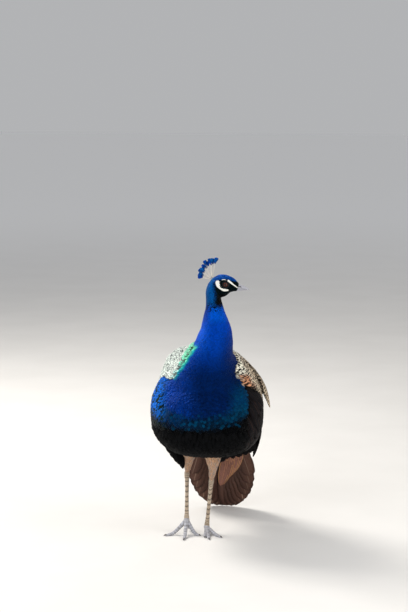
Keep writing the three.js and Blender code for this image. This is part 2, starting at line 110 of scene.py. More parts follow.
def spline(knots: Array, t: Array, even: bool = False) -> Array:
    """Points of a Catmull-Rom line through knots.

    Each span is a cubic whose end slopes are centripetal (each gap counts as the root of its length), or
    half the step between the neighbouring knots when even is true.

    Args:
        knots: Rows of any width that the line passes through.
        t: Places from 0 to 1, with the same share of t for each span.
        even: Whether the spans count as equally long.

    Returns:
        One row for each place.
    """
    knots = np.asarray(knots, float)
    padded = np.vstack([2 * knots[0] - knots[1], knots, 2 * knots[-1] - knots[-2]])
    spans = len(knots) - 1
    place = np.clip(np.asarray(t, float), 0.0, 1.0) * spans
    index = np.minimum(place.astype(int), spans - 1)
    w = (place - index)[:, None]
    p0, p1, p2, p3 = (padded[index + k] for k in range(4))
    if even:
        m1, m2 = (p2 - p0) / 2, (p3 - p1) / 2
    else:
        d0, d1, d2 = (np.sqrt(np.linalg.norm(b - a, axis=1, keepdims=True) + 1e-9)
                      for a, b in ((p0, p1), (p1, p2), (p2, p3)))
        m1 = ((p1 - p0) / d0 - (p2 - p0) / (d0 + d1) + (p2 - p1) / d1) * d1
        m2 = ((p2 - p1) / d1 - (p3 - p1) / (d1 + d2) + (p3 - p2) / d2) * d1
    c2 = -3 * p1 + 3 * p2 - 2 * m1 - m2
    c3 = 2 * p1 - 2 * p2 + m1 + m2
    return p1 + w * (m1 + w * (c2 + w * c3))


def through(knots: Sequence[Row], values: Array) -> Array:
    """A number that runs straight between (place, number) knots and stays level past the ends."""
    return np.interp(values, *np.asarray(knots, float).T)


def by(axis: int, *knots: Row) -> Field:
    """A size that changes with one coordinate, through (place, size) knots."""
    return lambda at: through(knots, at[:, axis])


def between(a: Row, b: Row, t: float) -> Array:
    """A point at share t from a to b."""
    return np.asarray(a) + (np.asarray(b) - np.asarray(a)) * t


def linear(red: float, green: float, blue: float) -> Colour:
    """A screen colour as the shader's linear light.

    Args:
        red: Red, from 0 to 255.
        green: Green.
        blue: Blue.

    Returns:
        The colour, from 0 to 1.
    """
    share = np.array([red, green, blue]) / 255.0
    light = np.where(share <= 0.04045, share / 12.92, ((share + 0.055) / 1.055) ** 2.4)
    return tuple(float(v) for v in light)


def turn_angles(count: int) -> Array:
    """Angles that share out a full turn evenly."""
    return 2 * np.pi * np.arange(count) / count


def lattice(count: int) -> tuple[Array, float]:
    """Cells of a square map, one for each of several things.

    Args:
        count: How many things share the map.

    Returns:
        The cells' middles, and the side of a patch that fits a cell.
    """
    columns = int(math.ceil(math.sqrt(count)))
    index = np.arange(count)
    return (np.stack([index % columns, index // columns], -1) + 0.5) / columns, 0.9 / columns


# ---- meshes ----


def grid_faces(rows: int, columns: int, first: int = 0) -> Array:
    """Quads of a grid of rows of points whose columns close round.

    Args:
        rows: Number of rows.
        columns: Points in a row.
        first: Number of the first point.

    Returns:
        Four point numbers for each quad.
    """
    row, column = np.meshgrid(np.arange(rows - 1), np.arange(columns), indexing="ij")
    a = first + row * columns + column
    b = first + row * columns + (column + 1) % columns
    return np.stack([a, b, b + columns, a + columns], -1).reshape(-1, 4)


def end_fans(first: int, last: int, columns: int, head: int, tail: int) -> Array:
    """Triangles that close a grid at both ends.

    Args:
        first: First point of the first row.
        last: First point of the last row.
        columns: Points in a row.
        head: The point that closes the first row.
        tail: The point that closes the last.

    Returns:
        Three point numbers for each triangle.
    """
    spoke = np.arange(columns)
    after = (spoke + 1) % columns
    return np.vstack([np.stack([np.full(columns, head), first + after, first + spoke], -1),
                      np.stack([np.full(columns, tail), last + spoke, last + after], -1)])


@dataclass
class Mesh:
    """Points and faces in the bird's frame, with what the points carry."""

    points: Array
    quads: Array
    tris: Array
    maps: dict[str, Array] = field(default_factory=dict)
    marks: dict[str, Array] = field(default_factory=dict)

    @staticmethod
    def closed(points: Array, ends: Array, columns: int, u: Array, v: Array) -> Mesh:
        """A grid of rows of points whose columns close round, with a point at each end.

        Args:
            points: The rows, one after the other.
            ends: The two end points.
            columns: Points in a row.
            u: Each point's place round the grid, with the ends' last.
            v: Its place along the grid.

        Returns:
            The mesh, whose map holds u and v.
        """
        count = len(points)
        return Mesh(np.vstack([points, ends]), grid_faces(count // columns, columns),
                    end_fans(0, count - columns, columns, count, count + 1),
                    {"OFBake": np.stack([u, v, np.ones_like(u)], -1)}).turned_out()

    def as_skin(self, tint: Array | Colour, bare: Array | float = 0.0, leg: float = 0.0,
                groove: Array | float = 0.0) -> Mesh:
        """Adds the four marks that the skin's finish reads.

        Args:
            tint: Colour of all or of each point.
            bare: How bare and white the skin is.
            leg: Whether it is a leg's.
            groove: How far a point lies in a groove between scutes.

        Returns:
            The same mesh.
        """
        count = len(self.points)
        self.marks = {name: np.broadcast_to(value, count)
                      for name, value in (("bare", bare), ("leg", leg), ("groove", groove))}
        self.marks["tint"] = np.broadcast_to(tint, (count, 3))
        return self

    def turned_out(self) -> Mesh:
        """Turns the faces outwards, judged by the sign of the volume.

        Returns:
            The same mesh.
        """
        halves = np.vstack([self.quads[:, [0, 1, 2]], self.quads[:, [0, 2, 3]], self.tris])
        a, b, c = (self.points[halves[:, k]] for k in range(3))
        if np.einsum("ij,ij->i", a - self.points.mean(0), np.cross(b, c)).sum() < 0:
            self.quads = self.quads[:, ::-1]
            self.tris = self.tris[:, ::-1]
        return self

    def unrolled(self, key: str) -> Array:
        """A map's places at the corners of the faces, quads first.

        A map with a third number closes round after that width: where a face spans the seam, its low corners
        are moved on by the width.

        Args:
            key: The map's name.

        Returns:
            Two numbers for each corner.
        """
        corners = []
        for faces in (self.quads, self.tris):
            spots = self.maps[key][faces]
            if spots.shape[-1] == 3:
                high = spots[..., 0].max(axis=1, keepdims=True) - 0.5 * spots[..., 2]
                spots[..., 0] += (spots[..., 0] < high) * spots[..., 2]
            corners.append(spots[..., :2].reshape(-1, 2))
        return np.concatenate(corners)

    def in_cell(self, index: int, count: int) -> Mesh:
        """Moves the map into one cell of a row along the top of the whole map.

        Args:
            index: The cell.
            count: How many cells the row has.

        Returns:
            The same mesh.
        """
        u, v, turn = self.maps["OFBake"].T
        width = (1 - 2 * CELL_GAP) / count
        self.maps["OFBake"] = np.stack([(index + CELL_GAP) / count + u * width, CELL_FROM + v * CELL_TALL,
                                        turn * width], -1)
        return self

    @staticmethod
    def joined(parts: Sequence[Mesh]) -> Mesh:
        """Several meshes as one, with the maps and marks that all of them carry.

        Args:
            parts: The meshes.

        Returns:
            One new mesh.
        """
        starts = np.cumsum([0] + [len(part.points) for part in parts])
        maps = set.intersection(*(set(part.maps) for part in parts))
        marks = set.intersection(*(set(part.marks) for part in parts))
        return Mesh(
            np.vstack([part.points for part in parts]),
            np.vstack([part.quads + start for part, start in zip(parts, starts)]),
            np.vstack([part.tris + start for part, start in zip(parts, starts)]),
            {name: np.vstack([part.maps[name] for part in parts]) for name in sorted(maps)},
            {name: np.concatenate([part.marks[name] for part in parts]) for name in sorted(marks)},
        )


def placed(name: str, data: bpy.types.ID) -> bpy.types.Object:
    """A new object in the scene.

    Args:
        name: Its name.
        data: The mesh, lamp or camera that it shows.

    Returns:
        The object.
    """
    thing = bpy.data.objects.new(name, data)
    bpy.context.scene.collection.objects.link(thing)
    return thing


@dataclass
class Bench:
    """Turns meshes in the bird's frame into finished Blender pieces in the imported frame."""

    offset: Array
    made: int = 0

    def point(self, place: Sequence[float]) -> Row:
        """A place in the bird's frame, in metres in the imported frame."""
        return tuple(np.asarray(place, float) * MM + self.offset)

    def piece(self, name: str, mesh: Mesh, finish: Finish, nodes: Sequence[str] = ()) -> None:
        """Makes a piece that rides on the model.

        Args:
            name: The piece's name.
            mesh: Its mesh in the bird's frame.
            finish: What its surface is made of.
            nodes: The CAD nodes that it stands for.
        """
        data = bpy.data.meshes.new(name)
        corners = np.concatenate([mesh.quads.ravel(), mesh.tris.ravel()]).astype(np.int32)
        sizes = np.concatenate([np.full(len(mesh.quads), 4), np.full(len(mesh.tris), 3)]).astype(np.int32)
        data.vertices.add(len(mesh.points))
        data.vertices.foreach_set("co", (mesh.points * MM + self.offset).astype(np.float32).ravel())
        data.loops.add(len(corners))
        data.loops.foreach_set("vertex_index", corners)
        data.polygons.add(len(sizes))
        data.polygons.foreach_set("loop_start", (np.cumsum(sizes) - sizes).astype(np.int32))
        data.polygons.foreach_set("use_smooth", np.ones(len(sizes), bool))
        data.update(calc_edges=True)
        for key in sorted(mesh.maps, reverse=True):
            layer = data.uv_layers.new(name=key)
            layer.uv.foreach_set("vector", mesh.unrolled(key).astype(np.float32).ravel())
        for key, values in mesh.marks.items():
            kind, what = "FLOAT", "value"
            if values.ndim == 2:
                kind, what = "FLOAT_COLOR", "color"
                values = np.hstack([values, np.ones((len(values), 1))])
            data.attributes.new(key, kind, "POINT").data.foreach_set(what, values.astype(np.float32).ravel())
        data.validate()
        data.materials.append(finish.material())
        thing = placed(name, data)
        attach(thing, "root")
        if nodes:
            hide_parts(*nodes)
        count = len(mesh.quads) * 2 + len(mesh.tris)
        self.made += count
        log.info("%-22s %7d triangles", name, count)


# ---- round bodies ----


@dataclass
class Loft:
    """A closed round body along a smooth line.

    Each row is a centre and three half sizes: sideways, over and under. One Catmull-Rom line joins the
    centres and another the squares of the sizes, so end sizes of nought make a dome. A ring's point at
    angle a is centre + side * size * cos a + over * size * sin a, with cos and sin raised to the power
    flat in its lower half, which squares it.
    """

    rows: Array | Sequence[Row]
    side: Row = (1.0, 0.0, 0.0)
    flat: float = 1.0

    def __post_init__(self) -> None:
        """Holds the rows as an array."""
        self.rows = np.asarray(self.rows, float)

    def frames(self, u: Array) -> tuple[Array, Array, Array, Array, Array]:
        """The line's frames and the body's sizes.

        Args:
            u: Places along the line, from 0 to 1.

        Returns:
            Centres, directions along, across and over, and the three half sizes.
        """
        step = 1e-3
        centre = spline(self.rows[:, :3], u)
        along = unit(spline(self.rows[:, :3], u + step) - spline(self.rows[:, :3], u - step))
        side = np.asarray(self.side)
        across = unit(side - along * (along @ side)[:, None])
        sizes = np.sqrt(np.maximum(spline(self.rows[:, 3:] ** 2, u, even=True), 0.04))
        return centre, along, across, np.cross(across, along), sizes

    def surface(self, u: Array, angle: Array, grow: float) -> Array:
        """Points of the rings.

        Args:
            u: Places along the line.
            angle: Angles round it.
            grow: What is added to the sizes.

        Returns:
            Rings by angles by 3.
        """
        centre, _, across, over, sizes = self.frames(u)
        rise, reach = np.sin(angle), np.cos(angle)
        power = np.where(rise < -1e-6, self.flat, 1.0)
        sizes = sizes + grow
        wide = sizes[:, :1] * np.sign(reach) * np.abs(reach) ** power
        tall = np.where(rise > 0, sizes[:, 1:2], sizes[:, 2:3]) * np.sign(rise) * np.abs(rise) ** power
        return centre[:, None] + across[:, None] * wide[..., None] + over[:, None] * tall[..., None]

    def tube(self, rings: int, spokes: int, grow: float = 0.0, bunch: float = 0.45) -> Mesh:
        """The body as a closed grid of rings that bunch towards its ends, with a point at each end.

        Args:
            rings: Steps along the line.
            spokes: Points in a ring.
            grow: What is added to the sizes.
            bunch: How much the rings bunch, from 0 to 1.

        Returns:
            The mesh, whose map holds the place round the ring and along the line.
        """
        t = np.arange(1, rings) / rings
        u = (1 - np.cos(np.pi * t)) / 2 * bunch + t * (1 - bunch)
        angle = turn_angles(spokes)
        along = np.concatenate([np.repeat(u, spokes), [0.0, 1.0]])
        around = np.concatenate([np.tile(angle / (2 * np.pi), len(u)), [0.5, 0.5]])
        return Mesh.closed(self.surface(u, angle, grow).reshape(-1, 3),
                           spline(self.rows[:, :3], np.array([0.0, 1.0])), spokes, around, along)

    def excess(self, points: Array, sections: int = 110) -> Array:
        """How far each point lies outside the body, measured in its cross-section, negative inside.

        A point belongs to the section whose plane passes nearest to it, and its distance from the centre is
        compared there with the ring's in the same direction.

        Args:
            points: Places to measure.
            sections: How many sections are tried.

        Returns:
            A distance for each point.
        """
        centre, along, across, over, sizes = self.frames(np.linspace(0.0, 1.0, sections))
        ahead = points @ along.T - np.einsum("ij,ij->i", centre, along)
        away = np.sqrt(np.maximum((points ** 2).sum(1)[:, None] - 2 * points @ centre.T
                                  + (centre ** 2).sum(1), 0.0))
        near = np.argmin(np.abs(ahead) + 0.05 * away, axis=1)
        row = np.arange(len(points))
        gap = ahead[row, near]
        beside = np.clip(near + np.sign(gap).astype(int), 0, sections - 1)
        w = np.where(beside == near, 0.0, gap / (gap - ahead[row, beside] + 1e-9))
        w = np.clip(w, 0.0, 1.0)
        middle = lerp(centre[near], centre[beside], w)
        wide = np.einsum("ij,ij->i", points - middle, across[near])
        tall = np.einsum("ij,ij->i", points - middle, over[near])
        half = np.sqrt(lerp(sizes[near] ** 2, sizes[beside] ** 2, w))
        power = np.where(tall < 0, self.flat, 1.0)
        high = np.where(tall > 0, half[:, 1], half[:, 2])
        share = (np.abs(wide / half[:, 0]) ** (2 / power) + np.abs(tall / high) ** (2 / power)) ** (power / 2)
        from_centre = np.hypot(wide, tall)
        depth = from_centre * (1 - 1 / np.maximum(share, 1e-3))
        past = np.where((near == 0) & (gap < 0), -gap, np.where((near == sections - 1) & (gap > 0), gap, 0.0))
        return np.where(past > 0.5, past + 1.0, depth)


def rows_of(origin: Sequence[float], form: Sequence[Row], scale: Sequence[float]) -> Array:
    """Loft rows from shares: origin is added to each centre, and the sizes are multiplied by scale."""
    table = np.asarray(form, float)
    return np.concatenate([table[:, :3] + np.asarray(origin), table[:, 3:] * np.asarray(scale)], axis=1)


@dataclass
class BodyForm:
    """The true outline of the trunk, neck and head, out to the tips of the coat."""

    front: float = -170.0
    rear: float = 218.0
    height: float = 398.0
    half: Row = (160.0, 182.0, 157.0)
    belly: float = 0.77
    neck_at: Row = (29.0, -70.0, 0.0)
    neck_half: Row = (53.0, 55.0, 55.0)
    head_half: Row = (20.5, 28.0, 32.0)
    shoulder_at: Row = (-68.0, 25.0, 485.0)
    shoulder_half: Row = (72.0, 95.0, 84.0)
    blend: float = 10.0

    # Share of the trunk's length, drop of its centre and shares of its half sizes.
    trunk_form: tuple[Row, ...] = (
        (0, 6, 0, 0, 0), (0.055, 6, 0.58, 0.4, 0.47), (0.155, 10, 0.87, 0.69, 0.74),
        (0.31, 9, 1.045, 0.87, 0.885), (0.475, 0, 0.975, 1, 0.99), (0.64, 4, 0.925, 0.89, 0.96),
        (0.79, 24, 0.76, 0.64, 0.76), (0.905, 46, 0.54, 0.4, 0.5), (0.97, 60, 0.3, 0.22, 0.29),
        (1, 66, 0, 0, 0),
    )
    # The neck's centre, and shares of its half sizes sideways, in front and behind.
    neck_form: tuple[Row, ...] = (
        (-29, 20, 430, 2.3, 1.9, 1.2), (-28, 20, 475, 2.15, 1.75, 1.3), (-21, 19, 520, 1.78, 1.55, 1.35),
        (-13, 15, 558, 1.33, 1.36, 1.25), (-5, 11, 585, 1.1, 1.18, 1.07), (0, 8, 610, 1, 1, 0.92),
        (3, 4, 634, 0.885, 0.86, 0.8), (2, 1, 657, 0.76, 0.74, 0.7), (0.5, -1, 680, 0.625, 0.62, 0.62),
        (-0.5, -2, 703, 0.495, 0.51, 0.55), (-3, -3, 728, 0.42, 0.46, 0.52), (-3, -3, 752, 0.42, 0.43, 0.45),
        (0, -3, 768, 0.37, 0.38, 0.38), (4, -3, 782, 0.22, 0.25, 0.25), (5, -3, 789, 0, 0, 0),
    )
    # Place ahead of the eye, drop, and shares of the head's half sizes, from the nape to the bill.
    head_form: tuple[Row, ...] = (
        (-51, 6, 0, 0, 0), (-45.5, 5, 0.55, 0.45, 0.5), (-34, 3, 0.83, 0.78, 0.86),
        (-20, 2, 0.98, 1.02, 1.15), (-4, 1.5, 1, 1.02, 1.1), (12, 3, 0.83, 0.84, 0.8),
        (24, 6.5, 0.62, 0.62, 0.5), (33, 9, 0.43, 0.4, 0.36), (38, 10.5, 0, 0, 0),
    )

    def __post_init__(self) -> None:
        """Works out the three lofts."""
        span = self.rear - self.front
        trunk = [(0, self.front + t * span, self.height - drop, *sizes)
                 for t, drop, *sizes in self.trunk_form]
        head = [(ahead, 0, -drop, *sizes) for ahead, drop, *sizes in self.head_form]
        self.trunk = Loft(rows_of((0, 0, 0), trunk, self.half), flat=self.belly)
        self.neck = Loft(rows_of(self.neck_at, self.neck_form, self.neck_half))
        self.head = Loft(rows_of(EYE, head, self.head_half), side=(0.0, -1.0, 0.0))

    def excess(self, points: Array) -> Array:
        """How far points lie outside the whole body, with its parts blended where they meet.

        The raised right shoulder is a ball squashed to three half sizes.

        Args:
            points: Places to measure.

        Returns:
            A distance for each point, negative inside.
        """
        out = self.trunk.excess(points)
        lean = points - np.asarray(self.shoulder_at)
        share = np.linalg.norm(lean / np.asarray(self.shoulder_half), axis=1)
        ball = np.linalg.norm(lean, axis=1) * (1 - 1 / np.maximum(share, 1e-3))
        for other, soft in ((ball, self.blend * 1.6), (self.neck.excess(points), self.blend),
                            (self.head.excess(points), self.blend * 0.5)):
            near = np.maximum(soft - np.abs(out - other), 0.0) / soft
            out = np.minimum(out, other) - near ** 2 * soft / 4
        return out


@dataclass
class Chart:
    """A map of the body's surface: rings of places swept from the bill over the head, down the neck,
    round the breast and back to the tail. Feathers lie along the sweep.

    Each station gives a centre, the way of travel, the way to the nape or back, and a distance that is
    sure to lie outside. A ring lies square to the travel: at angle a it looks from the centre along
    side * cos a + back * sin a, and its place is where that line leaves the body, found by halving.
    """

    form: BodyForm
    rings: int = 250
    spokes: int = 144
    halvings: int = 13
    stations: tuple[Row, ...] = (
        (100.9, -73, 765, -1, 0, 0, 0, 0, 1, 20),
        (96, -73, 766, -1, 0, 0, 0, 0, 1, 24),
        (84, -73, 769, -1, 0, 0, 0, 0, 1, 32),
        (68, -73, 771, -1, 0, -0.06, -0.06, 0, 1, 44),
        (50, -73, 770, -0.96, 0, -0.27, -0.27, 0, 0.96, 48),
        (37, -73.5, 764, -0.8, 0, -0.6, -0.6, 0, 0.8, 48),
        (29.5, -74.5, 751, -0.5, 0, -0.87, -0.87, 0, 0.5, 46),
        (26.5, -75.5, 733, -0.15, 0, -0.99, -0.99, 0, 0.15, 44),
        (27, -75, 714, 0, 0, -1, -0.97, 0.22, 0, 42),
        (29, -72, 690, 0, 0, -1, -0.84, 0.54, 0, 50),
        (31, -69, 664, 0, 0, -1, -0.57, 0.82, 0, 62),
        (31, -66, 638, 0, 0, -1, -0.25, 0.97, 0, 76),
        (28, -65, 612, 0, 0.05, -1, 0, 1, 0.05, 96),
        (21, -72, 582, 0, 0.24, -0.97, 0, 0.97, 0.24, 130),
        (11, -80, 552, 0, 0.45, -0.89, 0, 0.89, 0.45, 180),
        (5, -80, 516, 0, 0.66, -0.75, 0, 0.75, 0.66, 230),
        (0, -66, 476, 0, 0.85, -0.53, 0, 0.53, 0.85, 260),
        (0, -32, 438, 0, 0.965, -0.26, 0, 0.26, 0.965, 280),
        (0, 14, 412, 0, 1, 0, 0, 0, 1, 280),
        (0, 66, 398, 0, 1, -0.05, 0, 0.05, 1, 280),
        (0, 120, 378, 0, 0.99, -0.1, 0, 0.1, 0.99, 240),
        (0, 168, 358, 0, 0.98, -0.16, 0, 0.16, 0.98, 180),
        (0, 200, 343, 0, 0.97, -0.2, 0, 0.2, 0.97, 120),
        (0, 215, 336, 0, 0.97, -0.2, 0, 0.2, 0.97, 60),
    )

    def __post_init__(self) -> None:
        """Finds the grid of places with its outward directions and steps."""
        self.at = self.grid(np.linspace(0.0, 1.0, self.rings))
        self.by_ring = np.gradient(self.at, axis=0)
        wide = np.concatenate([self.at[:, -1:], self.at, self.at[:, :1]], axis=1)
        self.by_spoke = (wide[:, 2:] - wide[:, :-2]) / 2
        out = unit(np.cross(self.by_ring, self.by_spoke))
        middle = self.at.mean(axis=1, keepdims=True)
        self.out = out * np.sign(np.einsum("ijk,ijk->", out, self.at - middle))

    def grid(self, t: Array) -> Array:
        """Places of rings on the body.

        Args:
            t: The rings' shares of the sweep.

        Returns:
            Rings by spokes by 3.
        """
        table = spline(np.asarray(self.stations, float), t, even=True)
        centre, travel = table[:, :3], unit(table[:, 3:6])
        back = table[:, 6:9]
        back = unit(back - travel * np.einsum("ij,ij->i", back, travel)[:, None])
        side = np.cross(back, travel)
        angle = turn_angles(self.spokes)
        rays = side[:, None] * np.cos(angle)[:, None] + back[:, None] * np.sin(angle)[:, None]
        low = np.zeros(rays.shape[:2])
        high = np.repeat(table[:, 9:], self.spokes, axis=1)
        for _ in range(self.halvings):
            half = (low + high) / 2
            place = centre[:, None] + rays * half[..., None]
            outside = self.form.excess(place.reshape(-1, 3)).reshape(half.shape) > 0
            high = np.where(outside, half, high)
            low = np.where(outside, low, half)
        return centre[:, None] + rays * ((low + high) / 2)[..., None]

    def read(self, grid: Array, ring: Array, spoke: Array) -> Array:
        """Values of a grid between its points, straight in both ways and closed round the ring.

        Args:
            grid: Values by ring and spoke.
            ring: Ring numbers.
            spoke: Spoke numbers.

        Returns:
            A value for each pair of numbers.
        """
        ring = np.clip(ring, 0.0, self.rings - 1.001)
        r0 = ring.astype(int)
        c0 = np.floor(spoke).astype(int)
        wr, wc = ring - r0, spoke - c0
        c0, c1 = c0 % self.spokes, (c0 + 1) % self.spokes
        upper = lerp(grid[r0, c0], grid[r0, c1], wc)
        return lerp(upper, lerp(grid[r0 + 1, c0], grid[r0 + 1, c1], wc), wr)

    def foot(self, ring: Array, spoke: Array) -> tuple[Array, Array]:
        """Places and the ways straight out of the surface there."""
        return self.read(self.at, ring, spoke), unit(self.read(self.out, ring, spoke))

    def step(self, ring: Array, spoke: Array, way: Array, distance: Array) -> tuple[Array, Array]:
        """Moves places over the surface.

        Args:
            ring: Their ring numbers.
            spoke: Their spoke numbers.
            way: The ways they head, of length 1.
            distance: How far they go.

        Returns:
            The new ring and spoke numbers.
        """
        dr, dc = self.read(self.by_ring, ring, spoke), self.read(self.by_spoke, ring, spoke)
        rr, rc, cc = ((a * b).sum(1) for a, b in ((dr, dr), (dr, dc), (dc, dc)))
        hr, hc = (way * dr).sum(1), (way * dc).sum(1)
        det = np.maximum(rr * cc - rc ** 2, 1e-4)
        ring = ring + distance * (cc * hr - rc * hc) / det
        spoke = spoke + distance * (rr * hc - rc * hr) / det
        return np.clip(ring, 0.0, self.rings - 1.01), spoke

    def sow(self, pitch: Field, keep: Field, seed: int) -> tuple[Array, Array]:
        """Places for feather roots in rows across the sweep.

        Rows lie where the way along the surface from the bill, in pitches, is a whole number. Each is
        shared out about a pitch apart, with alternate rows shifted by half a place.

        Args:
            pitch: Distance between rows, and between neighbours in a row, at each place.
            keep: Which places belong to this part of the coat.
            seed: Of the small shifts that break the rows up.

        Returns:
            Ring and spoke numbers of the roots.
        """
        chance = np.random.default_rng(seed)
        flat = self.at.reshape(-1, 3)
        pitches = pitch(flat).reshape(self.at.shape[:2])
        steps = np.linalg.norm(np.diff(self.at, axis=0), axis=2) * 2 / (pitches[1:] + pitches[:-1])
        gone = np.vstack([np.zeros(self.spokes), np.cumsum(steps, axis=0)])
        column = np.arange(self.spokes)
        rings, spokes = [], []
        for count in range(1, int(gone.max()) + 1):
            before = np.clip((gone < count).sum(axis=0), 1, self.rings - 1) - 1
            low, high = gone[before, column], gone[before + 1, column]
            ring = before + np.clip((count - low) / np.maximum(high - low, 1e-6), 0.0, 1.0)
            place = self.read(self.at, ring, column.astype(float))
            gaps = np.linalg.norm(np.roll(place, -1, axis=0) - place, axis=1) / pitch(place)
            total = gaps.sum()
            number = max(int(round(total)), 3)
            spots = (np.arange(number) + 0.5 * (count % 2) + chance.uniform(-0.16, 0.16, number)) / number
            spoke = np.interp((spots % 1.0) * total, np.concatenate([[0], np.cumsum(gaps)]),
                              np.arange(self.spokes + 1))
            wrapped = np.append(ring, ring[0])
            rings.append(np.interp(spoke, np.arange(self.spokes + 1), wrapped)
                         + chance.uniform(-0.12, 0.12, number))
            spokes.append(spoke)
        ring, spoke = np.concatenate(rings), np.concatenate(spokes)
        ring = np.clip(ring, 0.0, self.rings - 1.01)
        kept = keep(self.read(self.at, ring, spoke))
        return ring[kept], spoke[kept]


# ---- markings ----


@dataclass(frozen=True)
class Markings:
    """The bird's colours by place, with painted highlights and painted shade, shared by its skin and its
    coat.
    """

    cobalt: Colour = linear(0, 78, 204)
    # Painted highlight: the neck's blue where light falls on it.
    bright: Colour = linear(0, 106, 236)
    # Painted shade: the dark blue of the neck's shaded sides and lower front.
    navy: Colour = linear(0, 33, 88)
    azure: Colour = linear(0, 110, 216)
    # Teal of the breast's left side, and a painted glint on odd feathers of the rim and that side.
    shade: Colour = linear(0, 74, 110)
    teal: Colour = linear(0, 42, 66)
    moss: Colour = linear(2, 36, 22)
    black: Colour = linear(6, 7, 9)
    face: Colour = linear(5, 22, 26)
    crown: Colour = linear(4, 84, 178)
    nape: Colour = linear(2, 96, 156)
    # Painted sunlit highlight: silvery white over the back's front and the right shoulder.
    silver: Colour = linear(222, 232, 224)
    turquoise: Colour = linear(0, 190, 186)
    # Painted highlight: pale green on the blue's right edge.
    mint: Colour = linear(136, 240, 196)
    gold: Colour = linear(122, 132, 66)
    bronze: Colour = linear(84, 92, 50)
    cream: Colour = linear(252, 248, 228)
    buff: Colour = linear(232, 212, 182)
    rust: Colour = linear(214, 130, 74)
    flank: Colour = linear(8, 7, 9)
    umber: Colour = linear(48, 38, 32)
    dark: Colour = linear(30, 25, 30)
    tan: Colour = linear(196, 150, 112)
    leg: Colour = linear(190, 173, 152)
    toe: Colour = linear(184, 186, 194)

    @staticmethod
    def over(base: Array | Colour, *layers: tuple[Colour, Array]) -> Array:
        """Lays colours over base colours in turn, each by its share from 0 to 1."""
        for colour, share in layers:
            base = lerp(np.asarray(base), np.asarray(colour), share)
        return base

    @staticmethod
    def past_blue(points: Array) -> Array:
        """How far each place lies outside the blue of neck and breast, in millimetres.

        The blue ends at a slanting edge on each side of the neck's foot. Below that it ends on the left along
        the wing, and on the right it goes on round the flank and covers the wing's bend.

        Args:
            points: Places on the body.

        Returns:
            A distance for each, negative in the blue.
        """
        x, y, z = points.T
        aside = np.abs(x - 15.0) + np.where(x > 15, 9.0, -7.0) - through((
            (250, 132), (314, 127), (366, 122), (404, 119), (437, 120), (467, 114), (498, 93), (540, 69),
            (558, 58), (590, 38), (640, 10)), z)
        aside = aside + 2.5 * np.sin(0.16 * y + 0.11 * x) * np.sin(0.21 * z + 1.0)
        bend = 490.0 - 0.12 * y + 3.0 * np.sin(0.16 * y)
        aside = np.where((x < 15) & (z < bend), y + through(((300, 0), (380, 22), (486, 34)), z), aside)
        left = y - through(((505, -170), (530, -76), (545, -44), (558, -12), (575, 16)), z)
        aside = np.where(x > 15, np.minimum(aside, left), aside)
        behind = y - through(((300, 30), (440, 0), (520, 4), (560, 14), (584, 24), (600, 60), (660, 90)), z)
        return np.maximum(np.minimum(aside, np.where(z > 470, 600 - z, 1e3)), behind)

    def wing(self, points: Array) -> Array:
        """How much each place belongs to a folded wing: both flanks and shoulders, out from the back.

        Args:
            points: Places on the body.

        Returns:
            A share from 0 to 1 for each.
        """
        x, y, z = points.T
        rear = through(((240, 60), (270, 110), (320, 152), (380, 175), (430, 160), (520, 100)), z)
        left = np.maximum(80.0 - 40.0 * ease(-y, -25, 30), through(
            ((486, 96), (540, 62), (558, 52), (600, 36)), z))
        inner = np.where(z < 490, 50.0, np.where(x < 15, 20.0 + 50.0 * ease(y, 10, 90), left))
        shell = np.minimum(np.minimum(self.past_blue(points), np.abs(x - 8.0) - inner),
                           np.minimum(rear - y, z - 250.0))
        return ease(shell, -2.0, 2.0)

    @staticmethod
    def flight(points: Array) -> Array:
        """How much each place of a wing belongs to its dark lower half, below the scapulars.

        Args:
            points: Places on the body.

        Returns:
            A share from 0 to 1 for each.
        """
        _, y, z = points.T
        edge = through(((-110, 496), (-80, 482), (-30, 452), (20, 410), (90, 372), (160, 330)), y)
        return ease(edge - z, -2.0, 2.0)

    def mantle(self, points: Array) -> Array:
        """How much each place belongs to the scaly back: between the wings, down to the rump.

        Args:
            points: Places on the body.

        Returns:
            A share from 0 to 1 for each.
        """
        _, y, z = points.T
        floor = through(((-120, 484), (0, 484), (60, 470), (120, 430), (200, 372)), y)
        shell = np.minimum(self.past_blue(points), z - floor)
        return ease(shell, -2.0, 2.0) * (1 - self.wing(points))

    @staticmethod
    def bare_face(points: Array) -> Array:
        """How much each place belongs to the bare white skin round the eyes.

        A crescent follows a circle below and behind the eye, a stripe runs from the eye's front corner to the
        bill, and a thin line lies over the eye.

        Args:
            points: Places on the body.

        Returns:
            A share from 0 to 1 for each.
        """
        ahead, up = points[:, 0] - EYE[0], points[:, 2] - EYE[2]
        angle = np.degrees(np.arctan2(up - 8.0, ahead - 2.0))
        angle = np.where(angle > 60, angle - 360, angle)
        t = np.clip((angle + 174.0) / 96.0, 0.0, 1.0)
        turn = np.radians(t * 96.0 - 174.0)
        centre_x, centre_z = 3.0 + 25.0 * np.cos(turn), 8.5 + 25.0 * np.sin(turn)
        half = through(((0, 8.0), (0.25, 6.8), (0.5, 4.2), (0.75, 4.9), (1, 3.0)), t)
        crescent = half - np.hypot(ahead - centre_x, up - centre_z)
        s = np.clip(((ahead - 8.5) * 27.0 + (up - 11.5) * -22.0) / (27.0 ** 2 + 22.0 ** 2), 0.0, 1.0)
        stripe = 3.0 - 1.5 * s - np.hypot(ahead - 8.5 - 27.0 * s, up - 11.5 + 22.0 * s)
        brow_s = np.clip((ahead + 10.5) / 12.0, 0.0, 1.0)
        brow = 1.2 - np.hypot(ahead + 10.5 - 12.0 * brow_s, up - 13.8 - 0.8 * np.sin(np.pi * brow_s))
        side = ease(np.abs(points[:, 1] - EYE[1]), 5.0, 8.0)
        return ease(np.maximum(np.maximum(crescent, stripe), brow), -0.3, 0.3) * side

